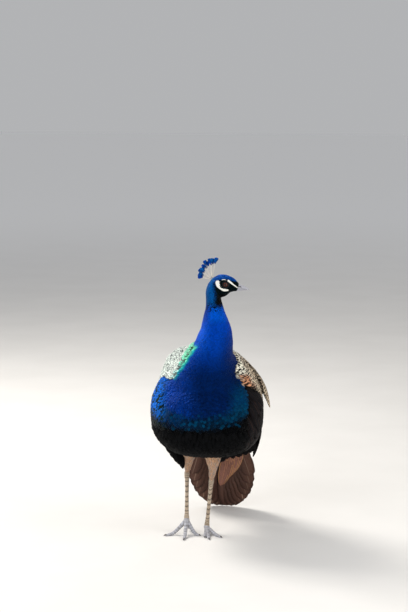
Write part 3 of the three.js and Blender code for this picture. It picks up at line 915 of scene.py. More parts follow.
    def tint(self, points: Array) -> Array:
        """Colour of the plumage, with painted highlights and painted shade on the neck, the back and the
        right shoulder.

        Args:
            points: Places on the body.

        Returns:
            Linear red, green and blue for each.
        """
        x, y, z = points.T
        ahead, up = x - EYE[0], z - EYE[2]
        past, wing, scaly, flight = (self.past_blue(points), self.wing(points), self.mantle(points),
                                     self.flight(points))
        black_at = 383 + np.where(x > 0, 0.0022, 0.0007) * x * x
        front = ease(ahead + 0.05 * (z - 735), -36, -22)
        on_head = ease(z, 708, 726)
        brow = ease(up + np.where(ahead > 0, 0.3, -0.12) * ahead, 14, 18)
        bend = ease(x, 20, 60) * ease(26 - past, 0, 14) * ease(z, 462, 472) * ease(-z, -516, -500)
        reach = 4.0 + 22.0 * ease(z, 540, 600)
        edge = (ease(15 - x, 0, 5) * ease(z, 496, 506) * ease(-z, -610, -596) * ease(-y, -40, 0)
                * ease(past, -13, -5) * ease(reach - past, 0, 0.7 * reach))
        return self.over(
            self.cobalt,
            # Neck: a painted highlight on its right side and under the head's left; painted shade in dark
            # blue at the top of its right side, low down and on its left.
            (self.bright, 0.5 * ease(-x, -40, 10) * ease(z, 560, 630) * ease(-z, -690, -650)),
            (self.bright, 0.9 * ease(z, 664, 688) * ease(x, 14, 28)),
            (self.navy, 0.5 * ease(z, 664, 688) * ease(-x, -22, -8)),
            (self.navy, (1 - 0.35 * ease(-x, -10, 60)) * ease(-z, -640, -505)),
            (self.navy, 0.5 * ease(x, 40, 76) * ease(-z, -670, -600)),
            # Breast: a band of teal under the blue, then black.
            (self.teal, 0.85 * ease(410 + 0.0021 * x * x + 14 - z, 0, 26)),
            (self.shade, 0.55 * ease(x, 62, 104) * ease(z, 396, 420) * ease(-z, -520, -470)),
            (self.azure, ease(-x, 84, 124) * ease(z, 376, 410) * 0.85),
            (self.black, ease(black_at + 10 - z, 0, 26)),
            # Head and throat.
            (self.face, on_head * front),
            (self.black, on_head * front * ease(-up, 22, 34)),
            (self.crown, on_head * brow * ease(-ahead, -38, -30)),
            (self.nape, 0.75 * on_head * (1 - front)),
            # Back: the scales' front painted silvery white as a painted sunlit highlight, then gold and
            # bronze over the rump.
            (self.silver, scaly),
            (self.gold, scaly * ease(y, 30, 100) * 0.8),
            (self.bronze, (1 - wing) * (1 - scaly) * ease(y, 26, 60) * ease(z, 330, 350)),
            # Wings: cream and buff scapulars, a painted sunlit highlight of silvery white on the right
            # shoulder, rust at the left bend, and blue-black feathers below.
            (self.buff, wing * (1 - flight)),
            (self.cream, wing * (1 - flight) * ease(34 - past, 0, 26)),
            (self.silver, wing * (1 - flight) * ease(-x, -15, 0) * ease(z, 470, 490)),
            (self.rust, wing * bend * 0.85),
            (self.flank, ease(wing, 0.0, 0.4) * flight),
            # Turquoise along the blue's right edge with a pale green painted highlight on it, and umber under
            # parts.
            (self.turquoise, edge * (0.45 + 0.55 * ease(z, 515, 560))),
            (self.mint, edge * ease(z, 525, 565) * ease(past, -7, 1)),
            (self.umber, (1 - wing) * ease(-z, -340, -310) * ease(y, 70, 130)))

    def mottle(self, base: Array, points: Array, chance: Array) -> Array:
        """Tints with odd feathers changed: green in the flank's azure, black in the collar, black on the
        neck's right side as painted shade, dark behind the cheek, black along the breast's rim, and pale teal
        on odd feathers of the rim and the breast's left side as a painted glint.

        Args:
            base: The feathers' tints.
            points: Their places.
            chance: A number from 0 to 1 for each.

        Returns:
            The new tints.
        """
        x, _, z = points.T
        blue = ease(-self.past_blue(points), -1, 1)
        flank = ease(-x, 92, 112) * ease(z, 366, 384) * ease(-z, -494, -486) * blue
        rim = ease(-z, -436, -410) * ease(z, 368, 380) * (1 - flank) * blue
        collar = ease(-z, -734, -722) * ease(z, 698, 706) * ease(x, -6, 12)
        nape = 0.6 * ease(-x, 8, 22) * ease(z, 630, 655) * ease(-z, -716, -704)
        side = 0.5 * ease(x, 62, 104) * ease(z, 410, 424) * ease(-z, -500, -470) * blue
        cheek = ease(z, 704, 716) * ease(-z, -790, -776) * ease(-np.abs(x - EYE[0] + 29.0), -8, -2)
        return self.over(
            base,
            (self.moss, flank * (chance < 0.4)),
            (self.black, np.maximum(rim * 0.5, collar) * (chance < 0.33)),
            # Black flecks on the neck's right side: painted shade.
            (self.black, nape * (chance < 0.2)),
            (self.face, cheek * (chance < 0.5)),
            # Pale teal on odd feathers of the rim and the breast's left side: a painted glint.
            (self.shade, np.maximum(rim * 0.45, side) * (chance > 0.8)))


# ---- finishes ----


class Wire:
    """One number or colour running through a material's nodes, with arithmetic."""

    def __init__(self, board: Board, socket: bpy.types.NodeSocket) -> None:
        """Wraps an output socket."""
        self.board = board
        self.socket = socket

    def math(self, operation: str, *others: Wire | float) -> Wire:
        """A Math node on this wire and the others."""
        return self.board.node("Math", dict(enumerate([self, *others])), operation=operation)

    def __add__(self, other: Wire | float) -> Wire:
        """Sum."""
        return self.math("ADD", other)

    def __sub__(self, other: Wire | float) -> Wire:
        """Difference."""
        return self.math("SUBTRACT", other)

    def __mul__(self, other: Wire | float) -> Wire:
        """Product."""
        return self.math("MULTIPLY", other)

    def __radd__(self, other: float) -> Wire:
        """Sum with a number in front."""
        return self + other

    def __rsub__(self, other: float) -> Wire:
        """A number less this wire."""
        return self.board.node("Math", {0: other, 1: self}, operation="SUBTRACT")

    def __rmul__(self, other: float) -> Wire:
        """Product with a number in front."""
        return self * other

    def step(self, low: float, high: float, floor: float = 0.0, top: float = 1.0) -> Wire:
        """Smooth step from floor at low to top at high."""
        return self.board.node("MapRange", {"Value": self, "From Min": low, "From Max": high, "To Min": floor,
                                            "To Max": top}, interpolation_type="SMOOTHSTEP")


class Board:
    """The node tree of one material."""

    def __init__(self, name: str) -> None:
        """Starts an empty tree.

        Args:
            name: The material's name.
        """
        self.stuff = bpy.data.materials.new(name)
        self.stuff.use_nodes = True
        self.tree = self.stuff.node_tree
        self.tree.nodes.clear()

    def node(self, kind: str, inputs: dict | None = None, output: int | str = 0, **settings: object) -> Wire:
        """Adds a node: its settings first, then the values or links of its sockets.

        Args:
            kind: Blender's type name, without the "ShaderNode" that starts them all.
            inputs: Values or wires by socket name or number.
            output: Which output to return.
            settings: Properties to set; "stops" fills a colour ramp.

        Returns:
            The wire from that output.
        """
        made = self.tree.nodes.new("ShaderNode" + kind)
        stops = settings.pop("stops", ())
        for key, value in settings.items():
            setattr(made, key, value)
        for place, colour in stops[2:]:
            made.color_ramp.elements.new(0.5)
        for stop, (place, colour) in zip(made.color_ramp.elements if stops else (), stops):
            stop.position, stop.color = place, (*colour, 1.0)
        for key, value in (inputs or {}).items():
            socket = made.inputs[key]
            if isinstance(value, Wire):
                self.tree.links.new(value.socket, socket)
            elif isinstance(value, tuple) and len(value) == 3 and socket.type == "RGBA":
                socket.default_value = (*value, 1.0)
            else:
                socket.default_value = value
        return Wire(self, made.outputs[output])

    def mark(self, name: str, colour: bool = False) -> Wire:
        """A number or colour that the mesh carries."""
        return self.node("Attribute", output="Color" if colour else "Fac", attribute_name=name)

    def vane(self) -> tuple[Wire, Wire]:
        """The place on a feather.

        Returns:
            Across it, from -1 to 1, and along it, from 0 at the root to 1 at the tip.
        """
        across = self.node("SeparateXYZ", {0: self.node("UVMap", uv_map="Vane")})
        along = Wire(self, across.socket.node.outputs[1])
        return across * 2.0 - 1.0, along

    def place(self) -> Wire:
        """Object coordinates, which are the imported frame's."""
        return self.node("TexCoord", output="Object")

    def noise(self, scale: float, detail: float = 3.0) -> Wire:
        """Soft noise from 0 to 1 on object coordinates."""
        return self.node("TexNoise", {"Vector": self.place(), "Scale": scale, "Detail": detail})

    def mix(self, share: Wire | float, a: Wire | Colour, b: Wire | Colour, way: str = "MIX") -> Wire:
        """Blends two colours."""
        return self.node("Mix", {0: share, 6: a, 7: b}, 2, data_type="RGBA", blend_type=way)

    def ramp(self, value: Wire, stops: Sequence[tuple[float, Colour]]) -> Wire:
        """A colour from a number by a ramp."""
        return self.node("ValToRGB", {0: value}, "Color", stops=stops)

    def bump(self, height: Wire, distance: float, strength: float) -> Wire:
        """A bumped normal from a height."""
        return self.node("Bump", {"Height": height, "Distance": distance, "Strength": strength}, "Normal")

    def finish(self, **sockets: Wire | float | Colour) -> bpy.types.Material:
        """Joins a Principled shader to the output.

        Args:
            sockets: Values or wires by socket name, with underscores for spaces.

        Returns:
            The material.
        """
        inputs = {key.replace("_", " "): value for key, value in sockets.items()}
        shader = self.node("BsdfPrincipled", inputs, "BSDF")
        end = self.tree.nodes.new("ShaderNodeOutputMaterial")
        self.tree.links.new(shader.socket, end.inputs["Surface"])
        return self.stuff


class Finish:
    """A surface finish that makes its material once."""

    name: str

    def material(self) -> bpy.types.Material:
        """The finish's material, made at its first use."""
        return bpy.data.materials.get(self.name) or self.dress(Board(self.name))

    def dress(self, board: Board) -> bpy.types.Material:
        """Fills a node tree with the finish."""
        raise NotImplementedError


class Pattern(Enum):
    """How a feather's vane is marked."""

    PLAIN = "plain"
    SCALY = "scaly"
    BARRED = "barred"
    SHAFTED = "shafted"


@dataclass(frozen=True)
class PlumeFinish(Finish):
    """Feathers tinted by place, with barbs, a root darkened partly by its down and partly as painted shade,
    and the marks of their kind.
    """

    name: str
    pattern: Pattern = Pattern.PLAIN
    rim: Colour = linear(8, 10, 10)
    mark: Colour = linear(26, 22, 20)
    shaft: Colour = linear(160, 140, 120)
    gloss: float = 0.75
    metal: float = 0.0
    # Darkness at the root: partly the feather's own down, partly painted shade where feathers overlap.
    root: float = 0.35
    barbs: float = 34.0
    bars: float = 170.0
    duty: float = 0.0
    wash: float = 0.0
    edge: float = 0.3
    edge_from: float = 0.86
    sheen: float = 0.0
    vary: float = 0.16
    specular: float = 0.2

    def dress(self, board: Board) -> bpy.types.Material:
        """Tint attribute, darkened to the root partly by the down and partly as painted shade where feathers
        overlap, and varied from feather to feather, then the pattern.

        Args:
            board: An empty node tree.

        Returns:
            The material.
        """
        across, along = board.vane()
        aside = across.math("ABSOLUTE")
        chance = board.mark("chance")
        tint = board.mark("tint", colour=True)
        speck = board.noise(900.0, 2.0)
        low, high = 1.0 - 1.6 * self.vary, 1.0 + self.vary
        colour = board.mix(1.0, tint, board.ramp(chance, (
            (0.0, (low, low, low)), (0.5, (1.0, 1.0, 1.0)), (1.0, (high, high, high)))), "MULTIPLY")
        if self.pattern is Pattern.SCALY:
            edge = (aside * aside + (along - 0.45) * (along - 0.45) * 3.1).step(0.74, 0.94)
            colour = board.mix(edge, colour, self.rim)
            colour = board.mix(aside.step(0.0, 0.16, 0.5, 0.0), colour, self.mark)
        if self.pattern is Pattern.BARRED:
            down = board.node("VectorMath", {0: board.place(), 1: (0.0, 0.7, -0.7)}, "Value",
                              operation="DOT_PRODUCT")
            wander = board.noise(150.0, 3.0)
            wave = ((self.bars * down + 0.45 * aside + 1.3 * wander + chance) * (2 * math.pi)).math("SINE")
            wash = board.noise(38.0, 3.0).step(0.45, 0.62, 0.0, self.wash)
            colour = board.mix(wash, colour, linear(112, 72, 46))
            colour = board.mix(wave.step(self.duty - 0.16, self.duty + 0.16), colour, self.mark)
        if self.pattern is Pattern.SHAFTED:
            cloud = board.noise(240.0, 4.0)
            colour = board.mix(cloud.step(0.35, 0.75, 0.0, 0.5), colour, self.mark)
            line = aside.step(0.03, 0.06, 1.0, 0.0) * chance.step(0.3, 0.95, 0.3, 1.0)
            colour = board.mix(line, colour, self.shaft)
            edge = aside.step(self.edge_from, self.edge_from + 0.1, 0.0, self.edge)
            colour = board.mix(edge, colour, self.shaft)
        # Darker towards the root: partly the down, partly painted shade where the feathers overlap.
        shade = along.step(0.0, 0.62, self.root, 1.0) * speck.step(0.2, 0.8, 0.86, 1.08)
        grey = board.node("CombineColor", {0: shade, 1: shade, 2: shade})
        colour = board.mix(1.0, colour, grey, "MULTIPLY")
        barb = ((along * self.barbs + aside * self.barbs * 0.55) * (2 * math.pi)).math("SINE")
        normal = board.bump(0.5 * barb + speck, 0.0004, 0.6)
        rough = speck.step(0.1, 0.9, self.gloss - 0.07, self.gloss + 0.09)
        return board.finish(Base_Color=colour, Roughness=rough, Metallic=self.metal, Normal=normal,
                            Sheen_Weight=self.sheen, Sheen_Roughness=0.5, Specular_IOR_Level=self.specular)


@dataclass(frozen=True)
class SkinFinish(Finish):
    """Skin in the coat's colours, darkened as painted shade, where feathers cover it, bare and white on the
    face, scaled on the legs.
    """

    name: str = "skin"
    bare: Colour = linear(240, 240, 232)
    groove: Colour = linear(44, 34, 30)

    def dress(self, board: Board) -> bpy.types.Material:
        """Mixes the tint, the bare white and the leg's scutes by what the mesh carries.

        Args:
            board: An empty node tree.

        Returns:
            The material.
        """
        tint = board.mark("tint", colour=True)
        bare = board.mark("bare")
        leg = board.mark("leg")
        groove = board.mark("groove")
        fine = board.noise(1400.0, 3.0)
        blotch = board.noise(120.0, 3.0)
        # Under the coat the skin takes the coat's tint at 0.7: painted shade where it shows between the
        # feathers.
        colour = board.mix(1.0, tint, (0.7, 0.7, 0.7), "MULTIPLY")
        patches = blotch.step(0.3, 0.7, 0.0, 0.7)
        horn = board.mix(patches, tint, board.mix(1.0, tint, (0.6, 0.55, 0.5), "MULTIPLY"))
        white = board.mix(fine.step(0.3, 0.7, 0.25, 0.0), self.bare, linear(190, 184, 172))
        colour = board.mix(bare, colour, white)
        horn = board.mix(groove * 0.9, horn, self.groove)
        colour = board.mix(leg, colour, horn)
        normal = board.bump(fine + groove * -0.6, 0.0006, 0.5)
        rough = leg.step(0.0, 1.0, 0.72, 0.5)
        return board.finish(Base_Color=colour, Roughness=rough, Normal=normal, Specular_IOR_Level=0.25)


@dataclass(frozen=True)
class HornFinish(Finish):
    """Horn that darkens by a mark and is streaked along its length."""

    name: str
    pale: Colour = linear(166, 166, 174)
    dark: Colour = linear(52, 50, 56)
    gloss: float = 0.34

    def dress(self, board: Board) -> bpy.types.Material:
        """A ramp over the mesh's shade with fine streaks.

        Args:
            board: An empty node tree.

        Returns:
            The material.
        """
        shade = board.mark("shade")
        streak = board.noise(500.0, 4.0)
        colour = board.ramp(shade + (streak - 0.5) * 0.25,
                            ((0.0, self.pale), (0.45, self.pale), (1.0, self.dark)))
        normal = board.bump(streak, 0.0003, 0.5)
        rough = streak.step(0.2, 0.8, self.gloss - 0.06, self.gloss + 0.1)
        return board.finish(Base_Color=colour, Roughness=rough, Normal=normal, Coat_Weight=0.15,
                            Coat_Roughness=0.2)


@dataclass(frozen=True)
class EyeFinish(Finish):
    """A wet dark-brown eye: black pupil, brown iris with fine rays, and a dark edge."""

    name: str = "eye"

    def dress(self, board: Board) -> bpy.types.Material:
        """Rings by the distance from the eye's axis, which the mesh carries.

        Args:
            board: An empty node tree.

        Returns:
            The material.
        """
        ring = board.mark("ring")
        rays = board.noise(1800.0, 2.0)
        colour = board.ramp(ring + (rays - 0.5) * 0.05, (
            (0.0, linear(4, 3, 3)), (0.29, linear(5, 4, 4)), (0.34, linear(84, 42, 30)),
            (0.6, linear(98, 52, 38)), (0.74, linear(50, 28, 22)), (1.0, linear(14, 10, 9))))
        return board.finish(Base_Color=colour, Roughness=0.06, Coat_Weight=0.2, Coat_Roughness=0.02,
                            Specular_IOR_Level=0.2)


# ---- feathers ----


@dataclass(frozen=True)
class Vane:
    """The form that one kind of feather repeats: a closed thin blade.

    Its outline gives the half width along it, and its ring the section: shares of the half width and of
    the thickness, with a raised shaft in the middle.
    """

    rows: int
    ring: tuple[tuple[float, float], ...]
    outline: tuple[tuple[float, float], ...] = (
        (0, 0.25), (0.2, 0.62), (0.5, 1), (0.75, 0.98), (0.9, 0.72), (1, 0.2))
    thick: float = 0.25
    camber: float = 0.12

    def shape(self, path: Array, out: Array, half: Array, roll: Array | None = None) -> tuple[Array, Array]:
        """Blades along paths.

        A point is path + across * half width * share + out * (thickness * height - camber * share
        squared * half width), where across is square to the path and to out.

        Args:
            path: Places from root to tip, as feathers by rows + 2 by 3.
            out: The way the upper face looks, for all or for each.
            half: Half width of each feather, or of each of its places.
            roll: Turn of each blade about its own line, in radians.

        Returns:
            The points, as feathers by points by 3, and each point's (across, along).
        """
        along = unit(np.gradient(path, axis=1))
        out = np.broadcast_to(out, path.shape)
        out = unit(out - along * (out * along).sum(-1, keepdims=True))
        across = np.cross(along, out)
        if roll is not None:
            c, s = np.cos(roll)[:, None, None], np.sin(roll)[:, None, None]
            across, out = across * c + out * s, out * c - across * s
        t = self.places()
        wide = through(self.outline, t)
        half = np.broadcast_to(np.asarray(half, float).reshape(len(path), -1), (len(path), len(t))) * wide
        share, height = np.asarray(self.ring).T
        lift = ((self.thick * (1 - 0.5 * t))[None, :, None] * height
                - self.camber * share ** 2 * half[..., None])
        ring = (path[:, 1:-1, None] + across[:, 1:-1, None] * (half[:, 1:-1, None] * share)[..., None]
                + out[:, 1:-1, None] * lift[:, 1:-1, :, None])
        points = np.concatenate([path[:, :1], ring.reshape(len(path), -1, 3), path[:, -1:]], axis=1)
        u = np.concatenate([[0.0], np.tile(share, self.rows), [0.0]])
        v = np.concatenate([[0.0], np.repeat(t[1:-1], len(share)), [1.0]])
        return points, np.stack([u, v], -1)

    def places(self) -> Array:
        """Where the rows lie along the feather, closer together towards the tip."""
        return 1 - (1 - np.linspace(0.0, 1.0, self.rows + 2)) ** 1.25

    def bow(self, root: Array, tip: Array, face: Array, rise: float) -> Array:
        """Paths straight from roots to tips plus a bow of rise * 4t(1 - t) along a face."""
        t = self.places()[:, None]
        return root[:, None] + (tip - root)[:, None] * t + face * (rise * 4 * t * (1 - t))

    def arc(self, ats: Sequence[Array], outs: Sequence[Array]) -> tuple[Array, Array]:
        """Parabolas through three places of each feather.

        Args:
            ats: The roots, the middles and the tips.
            outs: The ways the feathers face there.

        Returns:
            The paths, and the ways they face.
        """
        t = self.places()
        weights = np.stack([(1 - t) * (1 - 2 * t), 4 * t * (1 - t), t * (2 * t - 1)])
        return (np.einsum("jt,jnk->ntk", weights, np.stack(ats)),
                unit(np.einsum("jt,jnk->ntk", weights, np.stack(outs))))

    def faces(self) -> tuple[Array, Array]:
        """Faces of one blade.

        Returns:
            Its quads and its triangles.
        """
        spokes = len(self.ring)
        tip = self.rows * spokes + 1
        return grid_faces(self.rows, spokes, first=1), end_fans(1, tip - spokes, spokes, 0, tip)

    def flock(self, points: Array, places: Array, spots: Array, patch: float, tint: Array | Colour,
              chance: Array) -> Mesh:
        """Joins blades into one mesh with its maps and marks.

        Args:
            points: Feathers by points by 3.
            places: Each point's (across, along).
            spots: Where each feather's patch lies on the coat's map.
            patch: The patch's size there.
            tint: Colour of all or of each feather.
            chance: One number from 0 to 1 for each feather.

        Returns:
            The mesh.
        """
        number, size = points.shape[:2]
        quads, tris = self.faces()
        starts = (np.arange(number) * size)[:, None, None]
        local = np.stack([places[:, 0] * 0.5, places[:, 1] - 0.5], -1) * patch
        bake = (spots[:, None] + local[None]).reshape(-1, 2)
        vane = np.tile(np.stack([places[:, 0] * 0.5 + 0.5, places[:, 1]], -1), (number, 1))
        marks = {"tint": np.repeat(np.broadcast_to(tint, (number, 3)), size, axis=0),
                 "chance": np.repeat(chance, size)}
        return Mesh(points.reshape(-1, 3), (quads[None] + starts).reshape(-1, 4),
                    (tris[None] + starts).reshape(-1, 3), {"OFBake": bake, "Vane": vane}, marks).turned_out()


SLIM = ((-1.0, 0.0), (0.0, 1.0), (1.0, 0.0), (0.0, -0.6))
RIDGED = ((-1.0, 0.0), (-0.5, 0.5), (0.0, 1.3), (0.5, 0.5), (1.0, 0.0), (0.0, -0.6))
FLAT = ((-1.0, 0.0), (-0.5, 0.3), (0.0, 0.8), (0.5, 0.3), (1.0, 0.0), (0.0, -0.6))
FULL = ((-1.0, 0.0), (-0.55, 0.5), (-0.1, 0.6), (0.0, 2.2), (0.1, 0.6), (0.55, 0.5), (1.0, 0.0), (0.0, -0.8))


@dataclass
class Patch:
    """One part of the coat: where its feathers grow, how large they are and how they lie."""

    name: str
    slot: str
    finish: PlumeFinish
    vane: Vane
    keep: Field
    pitch: Field
    length: Field
    half: Field
    depth: Field
    flow: Field | None = None
    proud: float = 0.0
    ruffle: float = 0.08
    nodes: tuple[str, ...] = ()
    patch: float = 0.003

    def grow(self, chart: Chart, markings: Markings, seed: int) -> Mesh:
        """Sows the roots and grows a blade from each.

        A blade passes through the start, middle and end of a walk over the surface, sunk by the coat's depth,
        and rises from the skin at its root to the coat's outside at its tip.

        Args:
            chart: Map of the body's surface.
            markings: The bird's colours.
            seed: Of the random draws.

        Returns:
            The patch's mesh.
        """
        chance = np.random.default_rng(seed)
        ring, spoke = chart.sow(self.pitch, self.keep, seed)
        number = len(ring)
        at = chart.read(chart.at, ring, spoke)
        length = self.length(at) * chance.uniform(0.86, 1.14, number)
        half = self.half(at) * chance.uniform(0.9, 1.1, number)
        swing = chance.normal(0.0, self.ruffle, number)[:, None]
        # A walk of four steps, whose start, middle and end are its stops 0, 2 and 4.
        stops = [(ring, spoke)]
        for _ in range(4):
            place, facing = chart.foot(*stops[-1])
            travel = self.flow(place) if self.flow else unit(chart.read(chart.by_ring, *stops[-1]))
            way = unit(travel - facing * (travel * facing).sum(1, keepdims=True))
            stops.append(chart.step(*stops[-1], unit(way + np.cross(facing, way) * swing), length / 4))
        ats, outs = [], []
        for stop in stops[::2]:
            place, facing = chart.foot(*stop)
            ats.append(place - facing * self.depth(place)[:, None])
            outs.append(facing)
        sound = np.linalg.norm(ats[2] - ats[0], axis=1) < 1.3 * length
        sound &= np.linalg.norm(ats[1] - ats[0], axis=1) < 0.8 * length
        ats, outs = [row[sound] for row in ats], [row[sound] for row in outs]
        at, half, ring, spoke = at[sound], half[sound], ring[sound], spoke[sound]
        number = len(at)
        path, out = self.vane.arc(ats, outs)
        rise = (self.depth(at) + self.proud * chance.uniform(0.7, 1.3, number))[:, None]
        path = path + out * (rise * np.sin(self.vane.places() * np.pi * 0.5) ** 1.2)[..., None]
        points, places = self.vane.shape(path, out, half, chance.normal(0.0, self.ruffle * 1.6, number))
        spots = np.stack([(spoke / chart.spokes) % 1.0, ring / chart.rings], -1) * 0.98 + 0.01
        tint = markings.mottle(markings.tint(at), at, chance.random(number))
        return self.vane.flock(points, places, spots, self.patch, tint, chance.random(number))

    def build(self, bench: Bench, body: Body, seed: int) -> None:
        """Makes the patch's piece over a body."""
        bench.piece(self.name, self.grow(body.chart, body.markings, seed), self.finish, self.nodes)


# ---- sub-assemblies ----


@dataclass
class Body:
    """Head, neck and trunk: the skin and the coat over it."""

    form: BodyForm = field(default_factory=BodyForm)
    markings: Markings = field(default_factory=Markings)
    # Stations where the head and the neck end, and rings of skin for head, neck and trunk.
    head_end: int = 8
    neck_end: int = 13
    rings: tuple[int, int, int] = (150, 60, 90)
    # The eyelid's rings: reach from the eye's axis, and height above the eyeball's centre plane.
    lid: tuple[Row, ...] = ((5.9, 3.3), (6.45, 4.7), (6.8, 5.5), (7.25, 5.9), (7.8, 5.9), (8.5, 5.3),
                            (9.3, 4.2), (10.3, 2.5))

    def __post_init__(self) -> None:
        """Finds the chart of the surface."""
        self.chart = Chart(self.form)

    def depth(self, points: Array) -> Array:
        """Depth of the coat: thin on the face, thicker down the neck and on the trunk.

        Args:
            points: Places on the body.

        Returns:
            A depth for each.
        """
        up = points[:, 2]
        face = ease(points[:, 0], 64, 92) * ease(up, 730, 745)
        coat = through(((300, 9.0), (480, 8.0), (600, 5.5), (700, 3.5), (745, 1.6), (800, 1.4)), up)
        return coat * (1 - face) + 0.5 * face

    def skin(self) -> Mesh:
        """The swept surface, sunk by the coat's depth, closed at the bill and the tail.

        Returns:
            The mesh.
        """
        stops = len(self.chart.stations) - 1
        head, neck, trunk = self.rings
        t = np.concatenate([np.linspace(0.0, self.head_end / stops, head, endpoint=False),
                            np.linspace(self.head_end / stops, self.neck_end / stops, neck, endpoint=False),
                            np.linspace(self.neck_end / stops, 1.0, trunk)])
        rings, spokes = self.chart.rings, self.chart.spokes
        ring = np.repeat(t * (rings - 1), spokes)
        spoke = np.tile(np.arange(spokes, dtype=float), len(t))
        at = self.chart.grid(t).reshape(-1, 3)
        _, out = self.chart.foot(ring, spoke)
        sunk = self.depth(at) * (1 - 0.75 * self.markings.bare_face(at))
        points = self.socket(at - out * sunk[:, None])
        ends = points.reshape(len(t), spokes, 3)[[0, -1]].mean(axis=1)
        mesh = Mesh.closed(points, ends, spokes, np.append(spoke / spokes, [0.5, 0.5]),
                           np.append(ring / rings * SWEPT, [0, SWEPT]))
        return mesh.as_skin(self.markings.tint(mesh.points), bare=self.markings.bare_face(mesh.points))

    @staticmethod
    def socket(points: Array) -> Array:
        """Sinks the skin behind each eyeball, by a smooth pit round the eye's axis.

        Args:
            points: The skin's points.

        Returns:
            The moved points.
        """
        ahead, up = points[:, 0] - EYE[0], points[:, 2] - EYE[2]
        away = np.hypot(ahead, up * 1.1)
        aside = points[:, 1] - EYE[1]
        pit = 6.5 * (1 - ease(away, 3.0, 7.5)) * (np.abs(aside) > 6)
        points = points.copy()
        points[:, 1] -= np.sign(aside) * pit
        return points

    def lids(self, side: Side) -> Mesh:
        """A rounded rim of skin round one eye: rings from under the lid's edge out onto the cheek.

        Each ring is an oval round the eye's axis, whose height follows the eyeball and then falls to the
        head's surface.

        Args:
            side: Which eye.

        Returns:
            The mesh.
        """
        angle = turn_angles(64)
        reach, height = np.array(self.lid).T
        long, tall = 1.1, 0.95
        x = EYE[0] + reach[:, None] * long * np.cos(angle)
        z = EYE[2] + reach[:, None] * tall * np.sin(angle) * (1 - 0.06 * np.cos(angle)) - 0.4 * np.cos(angle)
        y = EYE[1] + side.value * (EYE_APART + height[:, None] * np.ones_like(angle))
        points = np.stack([x, y, z], -1).reshape(-1, 3)
        faces = grid_faces(len(reach), len(angle))
        if side is Side.RIGHT:
            faces = faces[:, ::-1]
        v = np.repeat(np.arange(len(reach)), len(angle)) / len(reach)
        bake = np.stack([np.tile(angle / (2 * np.pi), len(reach)), v, np.ones_like(v)], -1)
        return Mesh(points, faces, np.zeros((0, 3), int), {"OFBake": bake}).as_skin(linear(14, 18, 22))

    def coat(self) -> list[Patch]:
        """The parts of the coat that follow the chart.

        Returns:
            Patches from the head down.
        """
        marks = self.markings

        def plain(at: Array) -> Array:
            """Where neither a wing nor the scaly back lies."""
            return (marks.wing(at) < 0.5) & (marks.mantle(at) < 0.5)

        def bare(at: Array) -> Array:
            """Where feathers keep off the face."""
            near_eye = np.hypot((at[:, 0] - EYE[0]) / 9.2, (at[:, 2] - EYE[2]) / 8.2) < 1
            return (marks.bare_face(at) > 0.35) | (near_eye & (np.abs(at[:, 1] - EYE[1]) > 8))

        def finer(on_flank: float, elsewhere: Field) -> Field:
            """A size that is smaller among the slender feathers of the right flank."""
            return lambda at: np.where((at[:, 0] < -92) & (at[:, 2] > 372), on_flank, elsewhere(at))

        gloss = PlumeFinish("neck_plumage", metal=0.92, gloss=0.5, vary=0.14, root=0.5)
        rim = PlumeFinish("breast_plumage", metal=0.92, gloss=0.5, vary=0.16, root=0.45)
        down = PlumeFinish("belly_plumage", vary=0.3, specular=0.06)
        face = PlumeFinish("head_plumage", metal=0.85, gloss=0.5, vary=0.2)
        return [
            Patch("head_feathers", "crown_feathers", face, Vane(3, SLIM, thick=0.2),
                  lambda at: (at[:, 2] > 716) & ~bare(at) & (at[:, 0] < 101),
                  by(0, (40, 2.1), (64, 1.7), (90, 1.2)),
                  by(0, (40, 6.2), (64, 4.4), (92, 2.6)),
                  by(0, (40, 1.5), (64, 1.15), (92, 0.8)),
                  self.depth, proud=0.25, ruffle=0.1),
            Patch("neck_feathers", "neck_feathers", gloss, Vane(3, SLIM, thick=0.25, camber=0.05),
                  lambda at: (at[:, 2] <= 716) & (at[:, 2] > 520) & plain(at),
                  by(2, (520, 5.0), (640, 3.9), (716, 2.6)),
                  by(2, (520, 19), (640, 13), (716, 8)),
                  by(2, (520, 3.8), (640, 2.9), (716, 1.9)),
                  self.depth, proud=0.5, ruffle=0.05),
            Patch("breast_feathers", "breast_feathers", rim, Vane(4, RIDGED, thick=0.25, camber=0.05),
                  lambda at: (at[:, 2] <= 520) & (at[:, 2] > 366) & plain(at),
                  finer(6.4, by(2, (366, 8.4), (420, 6.8), (520, 5.0))),
                  finer(24, by(2, (366, 28), (420, 24), (520, 19))),
                  finer(3.4, by(2, (366, 7.2), (420, 5.6), (520, 3.8))),
                  self.depth, proud=0.9, ruffle=0.04),
            Patch("belly_feathers", "breast_feathers", down, Vane(4, RIDGED, thick=0.35),
                  lambda at: (at[:, 2] <= 366) & plain(at),
                  by(0, (0, 9.0)), by(0, (0, 36.0)), by(0, (0, 7.0)),
                  self.depth, proud=2.5, ruffle=0.12),
        ]

    def build(self, bench: Bench, legs: Sequence[Leg]) -> None:
        """Makes the skin with the legs' in one mesh, and the coat.

        Args:
            bench: Makes the pieces.
            legs: The legs whose skin joins the body's.
        """
        parts = [self.skin(), self.lids(Side.LEFT), self.lids(Side.RIGHT)]
        nodes = ["head", "neck_upper", "neck_lower", "trunk"]
        for leg in legs:
            parts += leg.skin(self.markings)
            nodes += [f"{part}_{leg.side.tag}" for part in ("thigh", "shank", "foot")]
        parts[1:] = [part.in_cell(index, len(parts) - 1) for index, part in enumerate(parts[1:])]
        bench.piece("skin", Mesh.joined(parts), SkinFinish(), nodes)
        for number, patch in enumerate(self.coat()):
            patch.build(bench, self, SEED + number)


